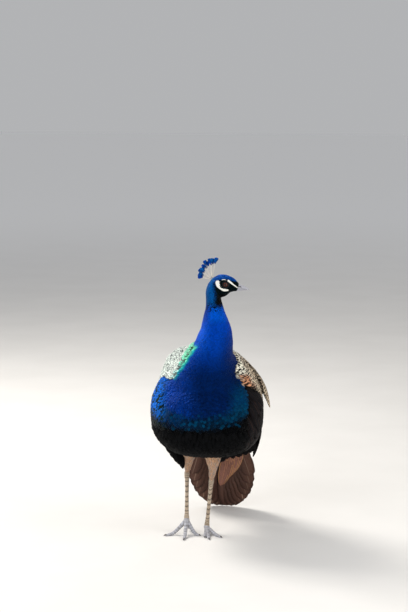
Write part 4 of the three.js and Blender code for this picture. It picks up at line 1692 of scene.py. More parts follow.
@dataclass
class Leg:
    """One leg: tarsus, toes, claws, spur and the feathered thigh."""

    side: Side
    hip: Row
    knee: Row
    shin: Row
    hock: Row
    joint: Row
    toes: dict[str, tuple[float, float]]
    hind_height: float
    tarsus: float = 6.2
    toe_radius: float = 5.4
    coat_rows: int = 36

    def thigh(self) -> Loft:
        """The feathered thigh's outline, from the hip to just above the hock."""
        return Loft([(*self.hip, 0, 0, 0), (*between(self.hip, self.knee, 0.25), 36, 44, 44),
                     (*self.knee, 30, 34, 34), (*self.shin, 15.5, 19, 19),
                     (*between(self.hock, self.shin, 0.3), 9.4, 10.5, 10.5),
                     (*between(self.hock, self.shin, 0.05), 0, 0, 0)])

    def shank(self) -> Loft:
        """The bare tarsus.

        Returns:
            Its loft.
        """
        r = self.tarsus
        rows = [(*between(self.hock, self.joint, t), r * wide, r * tall, r * tall) for t, wide, tall in (
            (0.12, 1.02, 1.25), (0.5, 0.88, 1), (0.85, 1, 1), (0.97, 1.25, 1.1), (1.04, 0, 0))]
        return Loft([(*between(self.hock, self.shin, 0.3), 0, 0, 0), (*self.hock, 7.9, 9.2, 10.7), *rows])

    def route(self, name: str, t: Sequence[float]) -> Array:
        """A toe's line: down from the joint and then along the floor.

        Args:
            name: The toe.
            t: Shares of its length.

        Returns:
            A point for each share.
        """
        x, y, z = self.joint
        tx, ty = self.toes[name]
        hind = name == "hind"
        r = self.toe_radius
        low = self.hind_height if hind else r * 0.55
        start = (x, y + 4, z + 9) if hind else (x, y, z)
        t = np.asarray(t, float)
        high = (low + (start[2] - low) * np.maximum(0.0, 1 - t / 0.68) ** 1.25
                + (0 if hind else r * 0.22) * (1 - t))
        return np.stack([start[0] + (tx - start[0]) * t, start[1] + (ty - start[1]) * t, high], -1)

    def toe(self, name: str) -> Loft:
        """One toe's outline, from inside the pad to its claw.

        Args:
            name: The toe.

        Returns:
            Its loft.
        """
        route = self.route(name, (0, 0.3, 0.58, 0.8, 0.9))
        r = self.toe_radius * (0.72 if name == "hind" else 1.0)
        radii = r * np.array([1.25, 1.05, 0.98, 0.82, 0.55])
        rows = [(*at, size, size, size * 0.8) for at, size in zip(route, radii)]
        first, last, before = rows[0], route[-1], route[-2]
        rows.insert(0, (first[0], first[1] + 3, first[2] + 1, 0, 0, 0))
        rows.append((*(last + (last - before) * 0.35), 0, 0, 0))
        return Loft(rows, side=(1.0, 0.2, 0.0))

    @staticmethod
    def scaled(loft: Loft, colour: Colour, rings: int, spokes: int, plates: int, depth: float) -> Mesh:
        """A tube with overlapping plates in relief: each plate swells and then steps in at its edge.

        Args:
            loft: The tube's outline.
            colour: Of the plates.
            rings: Steps along the tube.
            spokes: Points in a ring.
            plates: Plates along the tube.
            depth: How dark the grooves are, from 0 to 1.

        Returns:
            The mesh.
        """
        mesh = loft.tube(rings, spokes, bunch=0.15)
        around, along, _ = mesh.maps["OFBake"].T
        phase = (along * plates + 0.12 * np.cos(2 * np.pi * around * 2)) % 1.0
        swell = np.sin(np.pi * phase ** 0.7) - 0.5
        out = unit(mesh.points - spline(loft.rows[:, :3], along))
        inner = (along > 0.02) & (along < 0.98)
        mesh.points = mesh.points + out * (0.38 * swell * inner)[:, None]
        mesh.points[:, 2] = np.maximum(mesh.points[:, 2], 0.05)
        groove = (1 - ease(phase, 0.08, 0.3)) + ease(phase, 0.86, 1.0)
        return mesh.as_skin(colour, leg=1.0, groove=groove * depth)

    def skin(self, markings: Markings) -> list[Mesh]:
        """Tarsus, toes, pad and the thigh's skin.

        Args:
            markings: The bird's colours.

        Returns:
            One mesh for each.
        """
        parts = [self.scaled(self.shank(), markings.leg, rings=150, spokes=24, plates=22, depth=1.0)]
        parts += [self.scaled(self.toe(name), markings.toe, rings=90, spokes=18, plates=17, depth=0.55)
                  for name in self.toes]
        r = self.toe_radius * 1.75
        x, y, z = self.joint
        pad = Loft([(x, y + r * back, z, r * wide, r * tall, r * tall) for back, wide, tall in (
            (1, 0, 0), (0.5, 0.82, 0.78), (0, 0.94, 0.9), (-0.5, 0.82, 0.78), (-1, 0, 0))])
        parts.append(self.scaled(pad, markings.toe, rings=20, spokes=20, plates=4, depth=0.4))
        return parts + [self.thigh().tube(rings=30, spokes=28, grow=-4.0).as_skin(markings.tan)]

    def feathers(self, markings: Markings, seed: int) -> Mesh:
        """Soft feathers that lie down the thigh, in rows round it.

        Args:
            markings: The bird's colours.
            seed: Of the random draws.

        Returns:
            The mesh.
        """
        chance = np.random.default_rng(seed)
        loft = self.thigh()
        vane = Vane(4, RIDGED, thick=0.3)
        u = np.concatenate([np.full(max(int(n), 6), t) for t, n in zip(
            np.linspace(0.06, 0.93, self.coat_rows), np.linspace(52, 20, self.coat_rows))])
        number = len(u)
        u = u + chance.uniform(-0.01, 0.01, number)
        angle = chance.uniform(0, 2 * np.pi, number)
        length = (26.0 - 6.0 * u) * (1 + ease(u, 0.75, 0.9) * chance.uniform(-0.3, 0.5, number))
        span = np.linalg.norm(np.diff(spline(loft.rows[:, :3], np.linspace(0, 1, 60)), axis=0), axis=1).sum()
        ats, outs = [], []
        for share in (0.0, 0.5, 1.0):
            now = u + share * length / span
            centre, along, across, over, sizes = loft.frames(np.minimum(now, 0.94))
            centre = centre + along * (np.maximum(now - 0.94, 0.0) * span)[:, None]
            sizes = np.maximum(sizes, np.array([7.0, 8.8, 8.8]))
            ring = (across * (np.cos(angle) * sizes[:, 0])[:, None]
                    + over * (np.sin(angle) * sizes[:, 1])[:, None])
            outs.append(unit(ring))
            ats.append(centre + ring - outs[-1] * (4.0 * (1 - share)))
        points, places = vane.shape(*vane.arc(ats, outs), 4.6 - 2.2 * u, chance.normal(0, 0.2, number))
        grey = 0.7 * (chance.random(number) < 0.2)
        tint = Markings.over(markings.tan, (linear(150, 140, 136), grey),
                             (markings.black, ease(-u, -0.3, -0.16)))
        spots = np.stack([angle / (2 * np.pi), u], -1)
        return vane.flock(points, places, spots, 0.003, tint, chance.random(number))

    @staticmethod
    def horn(stations: Sequence[Row], rings: int = 16, spokes: int = 12) -> Mesh:
        """A horn point, darker towards its tip.

        Args:
            stations: Its loft's rows.
            rings: Steps along it.
            spokes: Points in a ring.

        Returns:
            The mesh.
        """
        mesh = Loft(stations, side=(1.0, 0.2, 0.0)).tube(rings, spokes)
        mesh.marks["shade"] = 0.35 + 0.65 * mesh.maps["OFBake"][:, 1]
        return mesh

    def claw(self, name: str) -> Mesh:
        """A claw from the toe's end, curving down to its point.

        Args:
            name: The toe.

        Returns:
            The mesh.
        """
        start = self.route(name, (0.9,))[0]
        x, y = self.toes[name]
        scale, reach = (0.9, 1.75) if name == "hind" else (1.0, 1.0)
        rows = []
        for t, up, wide, tall in ((-0.35, 1.2, 0, 0), (-0.1, 1.2, 2.5, 2.35), (0.3, 1.0, 2.1, 2.0),
                                  (0.6, 0.3, 1.5, 1.4), (0.85, -0.9, 0.9, 0.85), (1.05, -1.8, 0, 0)):
            rows.append((start[0] + (x - start[0]) * t * reach, start[1] + (y - start[1]) * t * reach,
                         max(start[2] + up, 0.8), wide * scale, tall * scale, tall * scale))
        return self.horn(rows)

    def build(self, bench: Bench, markings: Markings) -> None:
        """Makes the claws, the spur and the thigh's coat.

        Args:
            bench: Makes the pieces.
            markings: The bird's colours.
        """
        tag = self.side.tag
        horn = HornFinish("claw_sheath", pale=linear(96, 88, 82), dark=linear(34, 30, 30))
        for name in self.toes:
            bench.piece(f"{name}_claw_{tag}", self.claw(name), horn, [f"claw_{name}_{tag}"])
        x, y, z = between(self.hock, self.joint, 0.66)
        spur = self.horn([(x - 1, y + 2, z, 0, 0, 0), (x - 1, y + 5, z, 3.8, 4.4, 4.4),
                          (x - 1.5, y + 12, z + 1.6, 2.6, 3.0, 3.0), (x - 1.8, y + 19, z + 5, 1.3, 1.4, 1.4),
                          (x - 2, y + 24, z + 8.5, 0, 0, 0)], 22, 14)
        bench.piece(f"spur_horn_{tag}", spur, horn, [f"spur_{tag}"])
        coat = self.feathers(markings, SEED + 40 + self.side.value)
        bench.piece(f"thigh_feathers_{tag}", coat, PlumeFinish("thigh_plumage", sheen=0.4))


@dataclass
class Face:
    """Bill, eyes and crest."""

    length: float = 43.0
    mouth: float = 12.5
    eye_radius: float = 7.5
    crest_length: float = 60.0
    crest_count: int = 20

    upper: tuple[Row, ...] = ((-0.12, 0, 0, 0), (0, 0, 8.2, 15), (0.3, 0, 6.5, 12.4), (0.6, 0.4, 4.7, 8.6),
                              (0.83, 1.6, 3, 4.9), (0.95, 3, 1.5, 2.3), (1, 4.6, 0, 0))
    lower: tuple[Row, ...] = ((-0.1, 0, 0, 0), (0, 0, 6.6, 6.6), (0.3, 0, 5.3, 5.4), (0.6, 0.4, 3.6, 4),
                              (0.8, 1.2, 2, 2.4), (0.87, 1.8, 0, 0))

    def mandible(self, upper: bool) -> Mesh:
        """One half of the bill. The upper has a sharper ridge and a slit of a nostril in each side.

        Args:
            upper: Which half.

        Returns:
            The mesh.
        """
        x, y, z = EYE
        step = 0.0 if upper else 1.35
        rows = []
        for t, drop, side, height in (self.upper if upper else self.lower):
            thin = min(height, 0.5)
            rows.append((x + 24 + t * self.length, y, z - self.mouth - drop - step, side,
                         height if upper else thin, thin if upper else height))
        mesh = Loft(rows, side=(0.0, -1.0, 0.0)).tube(rings=64, spokes=40)
        around, along, _ = mesh.maps["OFBake"].T
        points = mesh.points
        rise = np.sin(2 * np.pi * around)
        if upper:
            squeeze = 1 - 0.22 * np.clip(rise, 0, 1) ** 2
            points[:, 1] = y + (points[:, 1] - y) * squeeze
            ahead, up = points[:, 0] - (x + 41.0), points[:, 2] - (z - 7.2)
            slit = np.exp(-((ahead / 5.5) ** 2 + ((up + 0.12 * ahead) / 1.9) ** 2) * 1.2)
            points[:, 1] -= np.sign(points[:, 1] - y) * slit * 2.0
            # The nostril slit is painted dark, as painted shade in its opening; the ridge and the tip are
            # darker horn.
            shade = 0.12 + 1.5 * slit + 0.4 * ease(rise, 0.85, 1.0) + 0.35 * ease(along, 0.75, 1.0)
        else:
            shade = 0.2 + 0.2 * along
        mesh.marks["shade"] = shade
        return mesh

    def eye(self, side: Side, rings: int = 40, spokes: int = 48) -> Mesh:
        """The eyeball: a sphere round the sideways axis with the cornea's low second bulge.

        Args:
            side: Which eye.
            rings: Rings from the front to the back.
            spokes: Points in a ring.

        Returns:
            The mesh.
        """
        lean = np.pi * np.linspace(0.02, 0.98, rings)
        angle = turn_angles(spokes)
        radius = self.eye_radius - 0.25 + 0.55 * np.exp(-(lean / 0.62) ** 2)
        out = (radius * np.cos(lean))[:, None] * np.ones_like(angle)
        ring = (radius * np.sin(lean))[:, None]
        points = np.stack([EYE[0] + ring * np.cos(angle), EYE[1] + side.value * (EYE_APART + out),
                           EYE[2] + ring * np.sin(angle)], -1).reshape(-1, 3)
        ends = EYE + np.array([[0, side.value * (EYE_APART + radius[0]), 0],
                               [0, side.value * (EYE_APART - radius[-1]), 0]])
        away = np.append(np.repeat(lean / (0.5 * np.pi), spokes), [0.0, 2.0])
        around = np.append(np.tile(angle / (2 * np.pi), rings), [0.5, 0.5])
        mesh = Mesh.closed(points, ends, spokes, around, away / 2)
        mesh.marks["ring"] = np.clip(away, 0, 1)
        return mesh

    def crest(self) -> tuple[Mesh, Mesh]:
        """A fan of bare shafts and the round vanes at their ends.

        Returns:
            The shafts and the vanes.
        """
        chance = np.random.default_rng(SEED + 70)
        number = self.crest_count
        lean = np.radians(np.linspace(-78, 12, number) + chance.uniform(-3, 3, number))
        share = 0.7 + 0.28 * ease(np.linspace(0, 1, number), 0.0, 0.85)
        share = share * chance.uniform(0.86, 1.05, number)
        length = self.crest_length * share
        fan = chance.uniform(-5.5, 5.5, number)
        root = EYE + np.stack([-41 + 4 * np.sin(lean), 0.35 * fan, 12 + 3 * np.cos(lean)], -1)
        way = unit(np.stack([np.sin(lean), fan / 50.0, np.cos(lean)], -1))
        bend = np.stack([-np.cos(lean), np.zeros(number), np.sin(lean)], -1)
        shaft = Vane(9, SLIM, outline=((0, 1), (1, 0.6)), thick=0.5, camber=0.0)
        t = shaft.places()
        reach = length * 0.88
        path = (root[:, None] + way[:, None] * (t * reach[:, None])[..., None]
                + bend[:, None] * (1.6 * np.sin(np.pi * t))[None, :, None])
        points, places = shaft.shape(path, np.array([0.0, 1.0, 0.0]), np.full(number, 0.45))
        across = (np.arange(number) + 0.5) / number
        shafts = shaft.flock(points, places, np.stack([across, np.full(number, 0.25)], -1), 0.04,
                             linear(236, 228, 214), chance.random(number))
        vane = Vane(8, FULL, outline=((0, 0.1), (0.2, 0.4), (0.5, 0.85), (0.75, 1), (0.92, 0.8), (1, 0.3)),
                    thick=0.25, camber=0.18)
        t = vane.places()
        start = root + way * (length - 14.5)[:, None]
        path = start[:, None] + way[:, None] * (t * 16.0)[..., None]
        facing = unit(np.stack([0.5 * np.cos(lean), np.full(number, -1.0), 0.4 - 0.5 * np.sin(lean)], -1))
        points, places = vane.shape(path, facing[:, None], chance.uniform(5.4, 7.6, number),
                                    chance.normal(0, 0.3, number))
        tint = Markings.over(linear(0, 60, 164), (linear(0, 90, 140), chance.uniform(0, 0.6, number)))
        return shafts, vane.flock(points, places, np.stack([across, np.full(number, 0.75)], -1), 0.045, tint,
                                  chance.uniform(0.3, 0.9, number))

    def build(self, bench: Bench) -> None:
        """Makes the bill, the eyes and the crest.

        Args:
            bench: Makes the pieces.
        """
        horn = HornFinish("bill_sheath")
        bench.piece("upper_bill", self.mandible(True), horn, ["bill_upper"])
        bench.piece("lower_bill", self.mandible(False), horn, ["bill_lower"])
        for side in Side:
            bench.piece(f"{side.tag}_eyeball", self.eye(side), EyeFinish(), [f"eye_{side.tag}"])
        shafts, vanes = self.crest()
        plume = PlumeFinish("crest_plumage", metal=0.7, gloss=0.42, root=0.6)
        bench.piece("crest_vanes", vanes, plume, ["crest"])
        bare = PlumeFinish("crest_shaft", root=0.95, gloss=0.5)
        bench.piece("crest_shafts", shafts, bare)


@dataclass
class Fan:
    """A row of large feathers whose roots and tips run between named places.

    Each feather's line is straight from root to tip plus a bow of bend * 4t(1 - t) along its face.
    """

    name: str
    slot: str
    finish: PlumeFinish
    roots: Sequence[Row]
    tips: Sequence[Row]
    face: Row
    half: tuple[float, float]
    tint: Colour
    count: int
    bend: float = 8.0
    stack: float = 0.5
    jitter: float = 0.03
    nodes: tuple[str, ...] = ()
    vane: Vane = Vane(14, FULL, thick=0.45, camber=0.1, outline=(
        (0, 0.22), (0.15, 0.6), (0.45, 0.95), (0.75, 1), (0.9, 0.82), (1, 0.25)))

    def mesh(self, seed: int, side: float = 1.0) -> Mesh:
        """Blades spread evenly between the rows of roots and tips.

        Args:
            seed: Of the random draws.
            side: -1 to mirror the row, or else 1.

        Returns:
            The mesh.
        """
        chance = np.random.default_rng(seed)
        t = np.linspace(0.0, 1.0, self.count)
        mirror = np.array([side, 1.0, 1.0])
        root = spline(np.asarray(self.roots, float), t, even=True) * mirror
        tip = spline(np.asarray(self.tips, float), t, even=True) * mirror
        face = unit(np.asarray(self.face, float) * mirror)
        lift = face * (np.arange(self.count) - self.count / 2)[:, None] * self.stack
        root, tip = root + lift, tip + lift
        tip = tip + (tip - root) * chance.uniform(-self.jitter, self.jitter, self.count)[:, None]
        path = self.vane.bow(root, tip, face, self.bend)
        half = np.linspace(self.half[0], self.half[1], self.count)
        notch = 1 - 0.07 * chance.random(path.shape[:2]) ** 3
        roll = chance.normal(0, 0.04, self.count)
        points, places = self.vane.shape(path, face, half[:, None] * notch, roll)
        return self.vane.flock(points, places, *lattice(self.count), self.tint,
                               chance.uniform(0.2, 0.8, self.count))


@dataclass
class Wings:
    """The folded wings and the scaly back between them."""

    body: Body
    barred: PlumeFinish = PlumeFinish("barred_plumage", Pattern.BARRED, root=0.7,
                                      bars=125.0, duty=0.15, wash=0.5)
    # The right wing's feathers: thin grey flecks instead of dark bars, as a painted sunlit highlight.
    silver: PlumeFinish = PlumeFinish("silver_plumage", Pattern.BARRED, metal=0.1, gloss=0.6, root=0.7,
                                      duty=0.62, mark=linear(104, 112, 112))
    hanging: PlumeFinish = PlumeFinish("scapular_plumage", Pattern.BARRED, root=0.6,
                                       bars=105.0, duty=0.1, wash=0.8, mark=linear(44, 32, 26))
    scaly: PlumeFinish = PlumeFinish("scaly_plumage", Pattern.SCALY, metal=0.35, gloss=0.42, root=0.6)
    dark: PlumeFinish = PlumeFinish("flight_dark", Pattern.SHAFTED, gloss=0.65, root=0.7,
                                    specular=0.1, mark=linear(26, 20, 28), shaft=linear(66, 42, 30))
    chestnut: PlumeFinish = PlumeFinish("flight_chestnut", Pattern.SHAFTED, root=0.85,
                                        edge=0.8, mark=linear(90, 54, 44), shaft=linear(226, 164, 112),
                                        edge_from=0.8)
    plume: PlumeFinish = PlumeFinish("flank_plumage", specular=0.06, vary=0.3)
    pointed: Vane = Vane(14, FULL, thick=0.45, camber=0.1, outline=(
        (0, 0.22), (0.15, 0.6), (0.45, 0.97), (0.72, 0.9), (0.9, 0.52), (1, 0.12)))
    hung: Vane = Vane(12, FULL, thick=0.4, outline=(
        (0, 0.25), (0.2, 0.7), (0.5, 1), (0.75, 0.92), (0.9, 0.6), (1, 0.12)))

    def shell(self, at: Array) -> Array:
        """Depth of these feathers' roots, which is less than the body's."""
        return self.body.depth(at) - 3.0

    @staticmethod
    def backward(at: Array) -> Array:
        """Wing feathers lie back and down."""
        return np.broadcast_to((0.0, 0.7, -0.7), at.shape)

    @staticmethod
    def sweeping(at: Array) -> Array:
        """The dark feathers of the flank hang more steeply towards the breast."""
        steep = through(((-110, 2.2), (-40, 1.4), (60, 0.8)), at[:, 1])
        return np.stack([np.zeros(len(at)), np.ones(len(at)), -steep], -1)

    @staticmethod
    def down_back(at: Array) -> Array:
        """Back feathers lie back, and fall away over the rump.

        Args:
            at: Places on the back.

        Returns:
            A direction for each.
        """
        fall = through(((-100, 1.4), (-20, 0.5), (0, 0.1), (90, 0.5), (180, 1.2)), at[:, 1])
        aside = np.sign(at[:, 0] - 15) * ease(-at[:, 1], -10, 40) * 0.6
        return np.stack([aside, np.ones(len(at)), -fall], -1)

    def coverts(self, side: Side) -> list[Patch]:
        """One wing's upper coverts and the dark ones below them.

        Args:
            side: Which wing.

        Returns:
            Two patches.
        """
        marks = self.body.markings

        def on_wing(at: Array) -> Array:
            """Where this side's wing lies."""
            return (marks.wing(at) >= 0.5) & (at[:, 0] * side.value > 0)

        return [
            Patch(f"wing_coverts_{side.tag}", "pied_feathers",
                  self.barred if side is Side.LEFT else self.silver, Vane(6, RIDGED, thick=0.35),
                  lambda at: on_wing(at) & (marks.flight(at) < 0.5),
                  by(1, (-90, 7.5), (0, 10), (60, 12), (170, 15)),
                  by(1, (-90, 20), (0, 28), (60, 34), (170, 44)),
                  by(1, (-90, 6.0), (0, 8.0), (60, 9.5), (170, 11.5)),
                  self.shell, flow=self.backward, proud=4.0, nodes=(f"wing_{side.tag}",), patch=0.012),
            Patch(f"flank_coverts_{side.tag}", "dark_feathers", self.dark, Vane(8, RIDGED, thick=0.4),
                  lambda at: on_wing(at) & (marks.flight(at) >= 0.5),
                  by(0, (0, 17.0)), by(0, (0, 62.0)), by(0, (0, 12.5)),
                  self.shell, flow=self.sweeping, proud=3.5, ruffle=0.05, patch=0.015),
        ]

    def fans(self, side: Side) -> list[Fan]:
        """One wing's secondaries, scapulars, primaries and the plumes under it.

        Args:
            side: Which wing.

        Returns:
            Four rows of feathers.
        """
        marks, left = self.body.markings, side is Side.LEFT
        low = 0 if left else 34
        return [
            Fan(f"secondary_feathers_{side.tag}", "dark_feathers", self.dark,
                ((136, 92, 440), (150, 50, 400), (155, 8, 352)),
                ((96, 226, 262 + low), (108, 176, 240 + low), (116, 122, 224 + low)),
                (0.95, -0.1, 0.1), (24, 22), marks.dark, 11, bend=11, nodes=(f"secondaries_{side.tag}",)),
            Fan(f"scapular_feathers_{side.tag}", "pied_feathers", self.hanging if left else self.silver,
                ((112, 6, 540), (130, 22, 514), (144, 38, 486)),
                ((154, 116, 424), (164, 106, 400), (172, 98, 376)),
                (0.8, -0.36, 0.48), (15, 17), marks.buff, 9, bend=6, stack=0.9, jitter=0.06,
                nodes=(f"scapulars_{side.tag}",), vane=self.hung),
            Fan(f"primary_feathers_{side.tag}", "chestnut_feathers", self.chestnut,
                ((88, 84, 266), (46, 100, 250)) if left else ((112, 104, 296), (106, 118, 278)),
                ((50, 180, 150), (10, 176, 108)) if left else ((58, 236, 232), (52, 222, 196)),
                (0.3, -0.9, -0.25) if left else (0.7, 0.2, -0.6), (17, 18) if left else (15, 15),
                linear(142, 98, 84), 7, bend=5, nodes=(f"primaries_{side.tag}",), vane=self.pointed),
            Fan(f"flank_plumes_{side.tag}", "dark_feathers", self.plume,
                ((126, 22, 300), (70, 62, 270), (30, 60, 262)) if left else
                ((128, -12, 306), (106, 0, 282), (80, 14, 268)),
                ((132, 44, 256), (82, 84, 226), (26, 76, 212)) if left else
                ((126, -6, 262), (98, 4, 222), (80, 14, 203)),
                (0.35, -0.93, -0.1), (10, 10), marks.flank, 19, bend=5, stack=0.3, jitter=0.12,
                vane=Vane(8, RIDGED, thick=0.4)),
        ]

    def build(self, bench: Bench) -> None:
        """Makes both wings' pieces and the mantle.

        Args:
            bench: Makes the pieces.
        """
        marks = self.body.markings
        for side in Side:
            for number, patch in enumerate(self.coverts(side)):
                patch.build(bench, self.body, SEED + 20 + side.value + 5 * number)
            for number, fan in enumerate(self.fans(side)):
                mesh = fan.mesh(SEED + 30 + number, side.value)
                bench.piece(fan.name, mesh, fan.finish, fan.nodes)
        Patch("mantle_feathers", "back_feathers", self.scaly, Vane(6, RIDGED, thick=0.35),
              lambda at: (marks.mantle(at) >= 0.5) & (marks.wing(at) < 0.5),
              by(1, (-20, 6.5), (40, 9.5), (120, 13), (200, 15)),
              by(1, (-20, 18), (40, 28), (120, 38), (200, 46)),
              by(1, (-20, 5.2), (40, 8.0), (120, 11), (200, 13)),
              self.shell, flow=self.down_back, proud=3.0, nodes=("mantle",), patch=0.012,
              ).build(bench, self.body, SEED + 25)


@dataclass
class Tail:
    """The graduated fan of the tail and the short bronze coverts over its root."""

    root: Row = (0.0, 182.0, 362.0)
    length: float = 408.0
    pitch: float = 63.5
    count: int = 18
    half: float = 26.0
    spread: tuple[float, float] = (17.0, 15.5)
    pale_shaft: int = 13
    # Rows of coverts: how many, length, spread, lift and drop of the roots.
    rows: tuple[Row, ...] = (
        (9, 214, 30, 0, 0), (10, 186, 34, 3, 4), (10, 158, 35, 6, 8), (10, 132, 34, 9, 12),
        (9, 106, 32, 12, 16), (8, 82, 28, 15, 20), (7, 60, 24, 18, 24))

    def rectrices(self) -> Mesh:
        """Brown tail feathers, the middle ones longest and resting on the floor.

        Returns:
            The mesh.
        """
        chance = np.random.default_rng(SEED + 90)
        t = np.linspace(-1.0, 1.0, self.count)
        turn = np.radians(t * np.where(t > 0, self.spread[1], self.spread[0]))
        length = self.length * (1 - 0.34 * np.abs(t) ** 2.2)
        slope = math.radians(self.pitch)
        root = np.asarray(self.root) + np.stack([17 * t, -3 * np.abs(t), -4 * np.abs(t)], -1)
        side, down, fold = np.sin(turn) * length, np.cos(turn) * length, -16 * t * t
        tip = root + np.stack([side - 5 * (1 - t * t), down * math.cos(slope) + fold * math.sin(slope) + 2,
                               -down * math.sin(slope) + fold * math.cos(slope)], -1)
        face = unit(np.array([0.0, -1.0, -0.5]))
        vane = Vane(20, FLAT, outline=((0, 0.2), (0.2, 0.62), (0.5, 0.95), (0.82, 1), (0.94, 0.86), (1, 0.4)),
                    thick=0.4, camber=0.02)
        path = vane.bow(root, tip, face, -8.0) - face * (np.abs(t) * 4.0 - 2.0)[:, None, None]
        path[..., 2] = np.maximum(path[..., 2], 1.0)
        notch = 1 - 0.08 * chance.random(path.shape[:2]) ** 3
        points, places = vane.shape(path, -face, self.half * notch, chance.normal(0, 0.05, self.count))
        points[..., 2] = np.maximum(points[..., 2], 0.0)
        lot = chance.uniform(0.0, 0.5, self.count)
        lot[self.pale_shaft] = 1.0
        return vane.flock(points, places, *lattice(self.count), linear(98, 68, 57), lot)

    def coverts(self) -> Mesh:
        """Overlapping bronze-green coverts in rows down the tail's root.

        Returns:
            The mesh.
        """
        chance = np.random.default_rng(SEED + 91)
        x, y, z = self.root
        face = unit(np.array([0.0, 1.0, 0.5]))
        vane = Vane(10, FULL, thick=0.4, camber=0.16,
                    outline=((0, 0.3), (0.3, 0.7), (0.6, 0.95), (0.8, 1), (0.94, 0.78), (1, 0.3)))
        paths, halves = [], []
        for count, length, spread, lift, drop in self.rows:
            t = np.linspace(-1.0, 1.0, int(count)) + chance.uniform(-0.03, 0.03, int(count))
            root = np.stack([x + t * spread, y + 6 + lift - 6 * t * t, z + 64 - drop - 12 * t * t], -1)
            fall = length * (1 - 0.3 * t * t) * chance.uniform(0.88, 1.04, int(count))
            tip = root + np.stack([t * 30, 0.324 * length - 7 * t * t, -0.945 * fall], -1)
            paths.append(vane.bow(root, tip, face, 12 * length / 218))
            halves.append(np.full(int(count), 9 + length * 0.045))
        path, half = np.concatenate(paths), np.concatenate(halves)
        number = len(path)
        points, places = vane.shape(path, face, half, chance.normal(0, 0.08, number))
        tint = Markings.over(linear(84, 104, 52), (linear(120, 92, 52), chance.uniform(0, 0.7, number)))
        return vane.flock(points, places, *lattice(number), tint, chance.random(number))

    def build(self, bench: Bench) -> None:
        """Makes the tail and its coverts.

        Args:
            bench: Makes the pieces.
        """
        brown = PlumeFinish("tail_plumage", Pattern.SHAFTED, gloss=0.65, root=0.8,
                            mark=linear(62, 40, 30), shaft=linear(172, 148, 128), edge=0.0)
        bronze = PlumeFinish("covert_plumage", Pattern.SCALY, metal=0.45, gloss=0.4, root=0.6,
                             rim=linear(30, 26, 16), mark=linear(60, 40, 20))
        bench.piece("tail_feathers", self.rectrices(), brown, ["tail"])
        bench.piece("covert_feathers", self.coverts(), bronze, ["tail_coverts"])


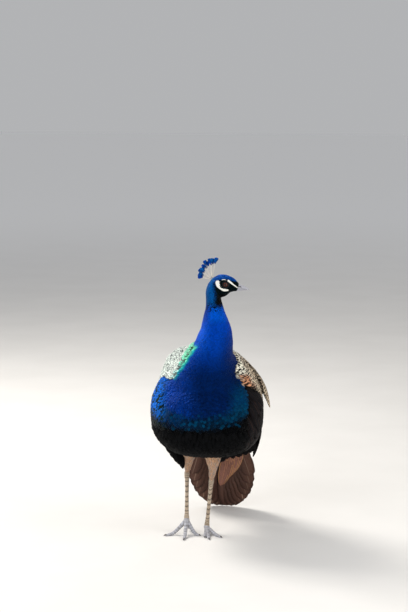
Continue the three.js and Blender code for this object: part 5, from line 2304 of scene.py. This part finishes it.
@dataclass
class Studio:
    """Plain pale floor, soft lights and the camera."""

    camera_at: Row = (815.55, -5236.89, 1420.0)
    tilt: float = 82.25
    turn: float = 9.0
    lens: float = 105.88
    aim: Row = (0.0, 0.0, 0.45)
    floor_reach: float = 30.0
    # Each lamp's name, place, size, power and colour.
    lamps: tuple[tuple[str, Row, float, float, Colour], ...] = (
        ("key", (-2.4, 1.2, 3.0), 1.4, 130.0, (1.0, 0.96, 0.9)),
        ("fill", (-1.6, -4.0, 2.4), 2.6, 90.0, (0.97, 0.98, 1.0)),
        ("side", (3.2, -1.2, 2.2), 2.0, 62.0, (1.0, 0.97, 0.93)))
    sky: Colour = (0.86, 0.87, 0.89)
    sky_light: float = 0.52

    def floor(self) -> None:
        """A wide square floor, painted paler far off as painted light where the lamps don't reach."""
        board = Board("floor")
        tone = board.mix(board.noise(3.0, 4.0).step(0.3, 0.7), (0.76, 0.745, 0.72), (0.79, 0.775, 0.75))
        away = board.node("VectorMath", {0: board.place()}, "Value", operation="LENGTH")
        # Painted light: paler from 3 m to 12 m out, where the lamps' light falls off.
        tone = board.mix(away.step(3.0, 12.0), tone, (0.98, 0.98, 0.98))
        data = bpy.data.meshes.new("floor")
        reach = self.floor_reach
        corners = [(-reach, -reach, 0.0), (reach, -reach, 0.0), (reach, reach, 0.0), (-reach, reach, 0.0)]
        data.from_pydata(corners, [], [(0, 1, 2, 3)])
        data.materials.append(board.finish(Base_Color=tone, Roughness=0.85))
        placed("floor", data)

    def light(self, name: str, place: Row, size: float, watts: float, colour: Colour) -> None:
        """A square soft light that looks at the bird.

        Args:
            name: The lamp's name.
            place: Where it hangs, in metres.
            size: Side of its square, in metres.
            watts: Its power.
            colour: Of its light.
        """
        lamp = bpy.data.lights.new(name, "AREA")
        lamp.shape, lamp.size, lamp.energy, lamp.color = "SQUARE", size, watts, colour
        thing = placed(name, lamp)
        thing.location = place
        thing.rotation_euler = (Vector(self.aim) - Vector(place)).to_track_quat("-Z", "Y").to_euler()
        thing.visible_camera = False

    def build(self, bench: Bench) -> None:
        """Makes the floor, the lights, the sky and the camera.

        Args:
            bench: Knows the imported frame.
        """
        self.floor()
        for lamp in self.lamps:
            self.light(*lamp)
        scene = bpy.context.scene
        scene.view_settings.view_transform = "Standard"
        world = bpy.data.worlds.new("room")
        world.use_nodes = True
        back = world.node_tree.nodes["Background"]
        back.inputs["Color"].default_value = (*self.sky, 1.0)
        back.inputs["Strength"].default_value = self.sky_light
        scene.world = world
        camera = bpy.data.cameras.new("camera")
        camera.lens, camera.sensor_width, camera.clip_end = self.lens, 36.0, 200.0
        scene.camera = placed("camera", camera)
        scene.camera.location = bench.point(self.camera_at)
        scene.camera.rotation_euler = (math.radians(self.tilt), 0.0, math.radians(self.turn))


def legs() -> list[Leg]:
    """Both legs as they stand."""
    return [
        Leg(Side.RIGHT, (-58, -2, 330), (-62, 18, 268), (-67, 40, 222), (-75, 56, 177), (-68, 6, 42),
            {"outer": (-131, -38), "middle": (-63, -80), "inner": (-21, -20), "hind": (-66, 46)}, 9.0),
        Leg(Side.LEFT, (22, -42, 330), (18, -26, 268), (14, -2, 215), (5, 22, 164), (-9, 22, 19),
            {"outer": (47, -33), "middle": (12, -62), "inner": (-6, -40), "hind": (-10, 58)}, 5.0),
    ]


def main() -> None:
    """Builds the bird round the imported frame."""
    logging.basicConfig(level=logging.INFO, format="%(message)s")
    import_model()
    eyes = np.array([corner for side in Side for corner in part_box(f"eye_{side.tag}")])
    bench = Bench(eyes.mean(axis=0) - EYE * MM)
    body = Body()
    pair = legs()
    body.build(bench, pair)
    for leg in pair:
        leg.build(bench, body.markings)
    Face().build(bench)
    Wings(body).build(bench)
    Tail().build(bench)
    Studio().build(bench)
    bpy.context.view_layer.update()
    log.info("%d triangles", bench.made)


if __name__ == "__main__":
    main()
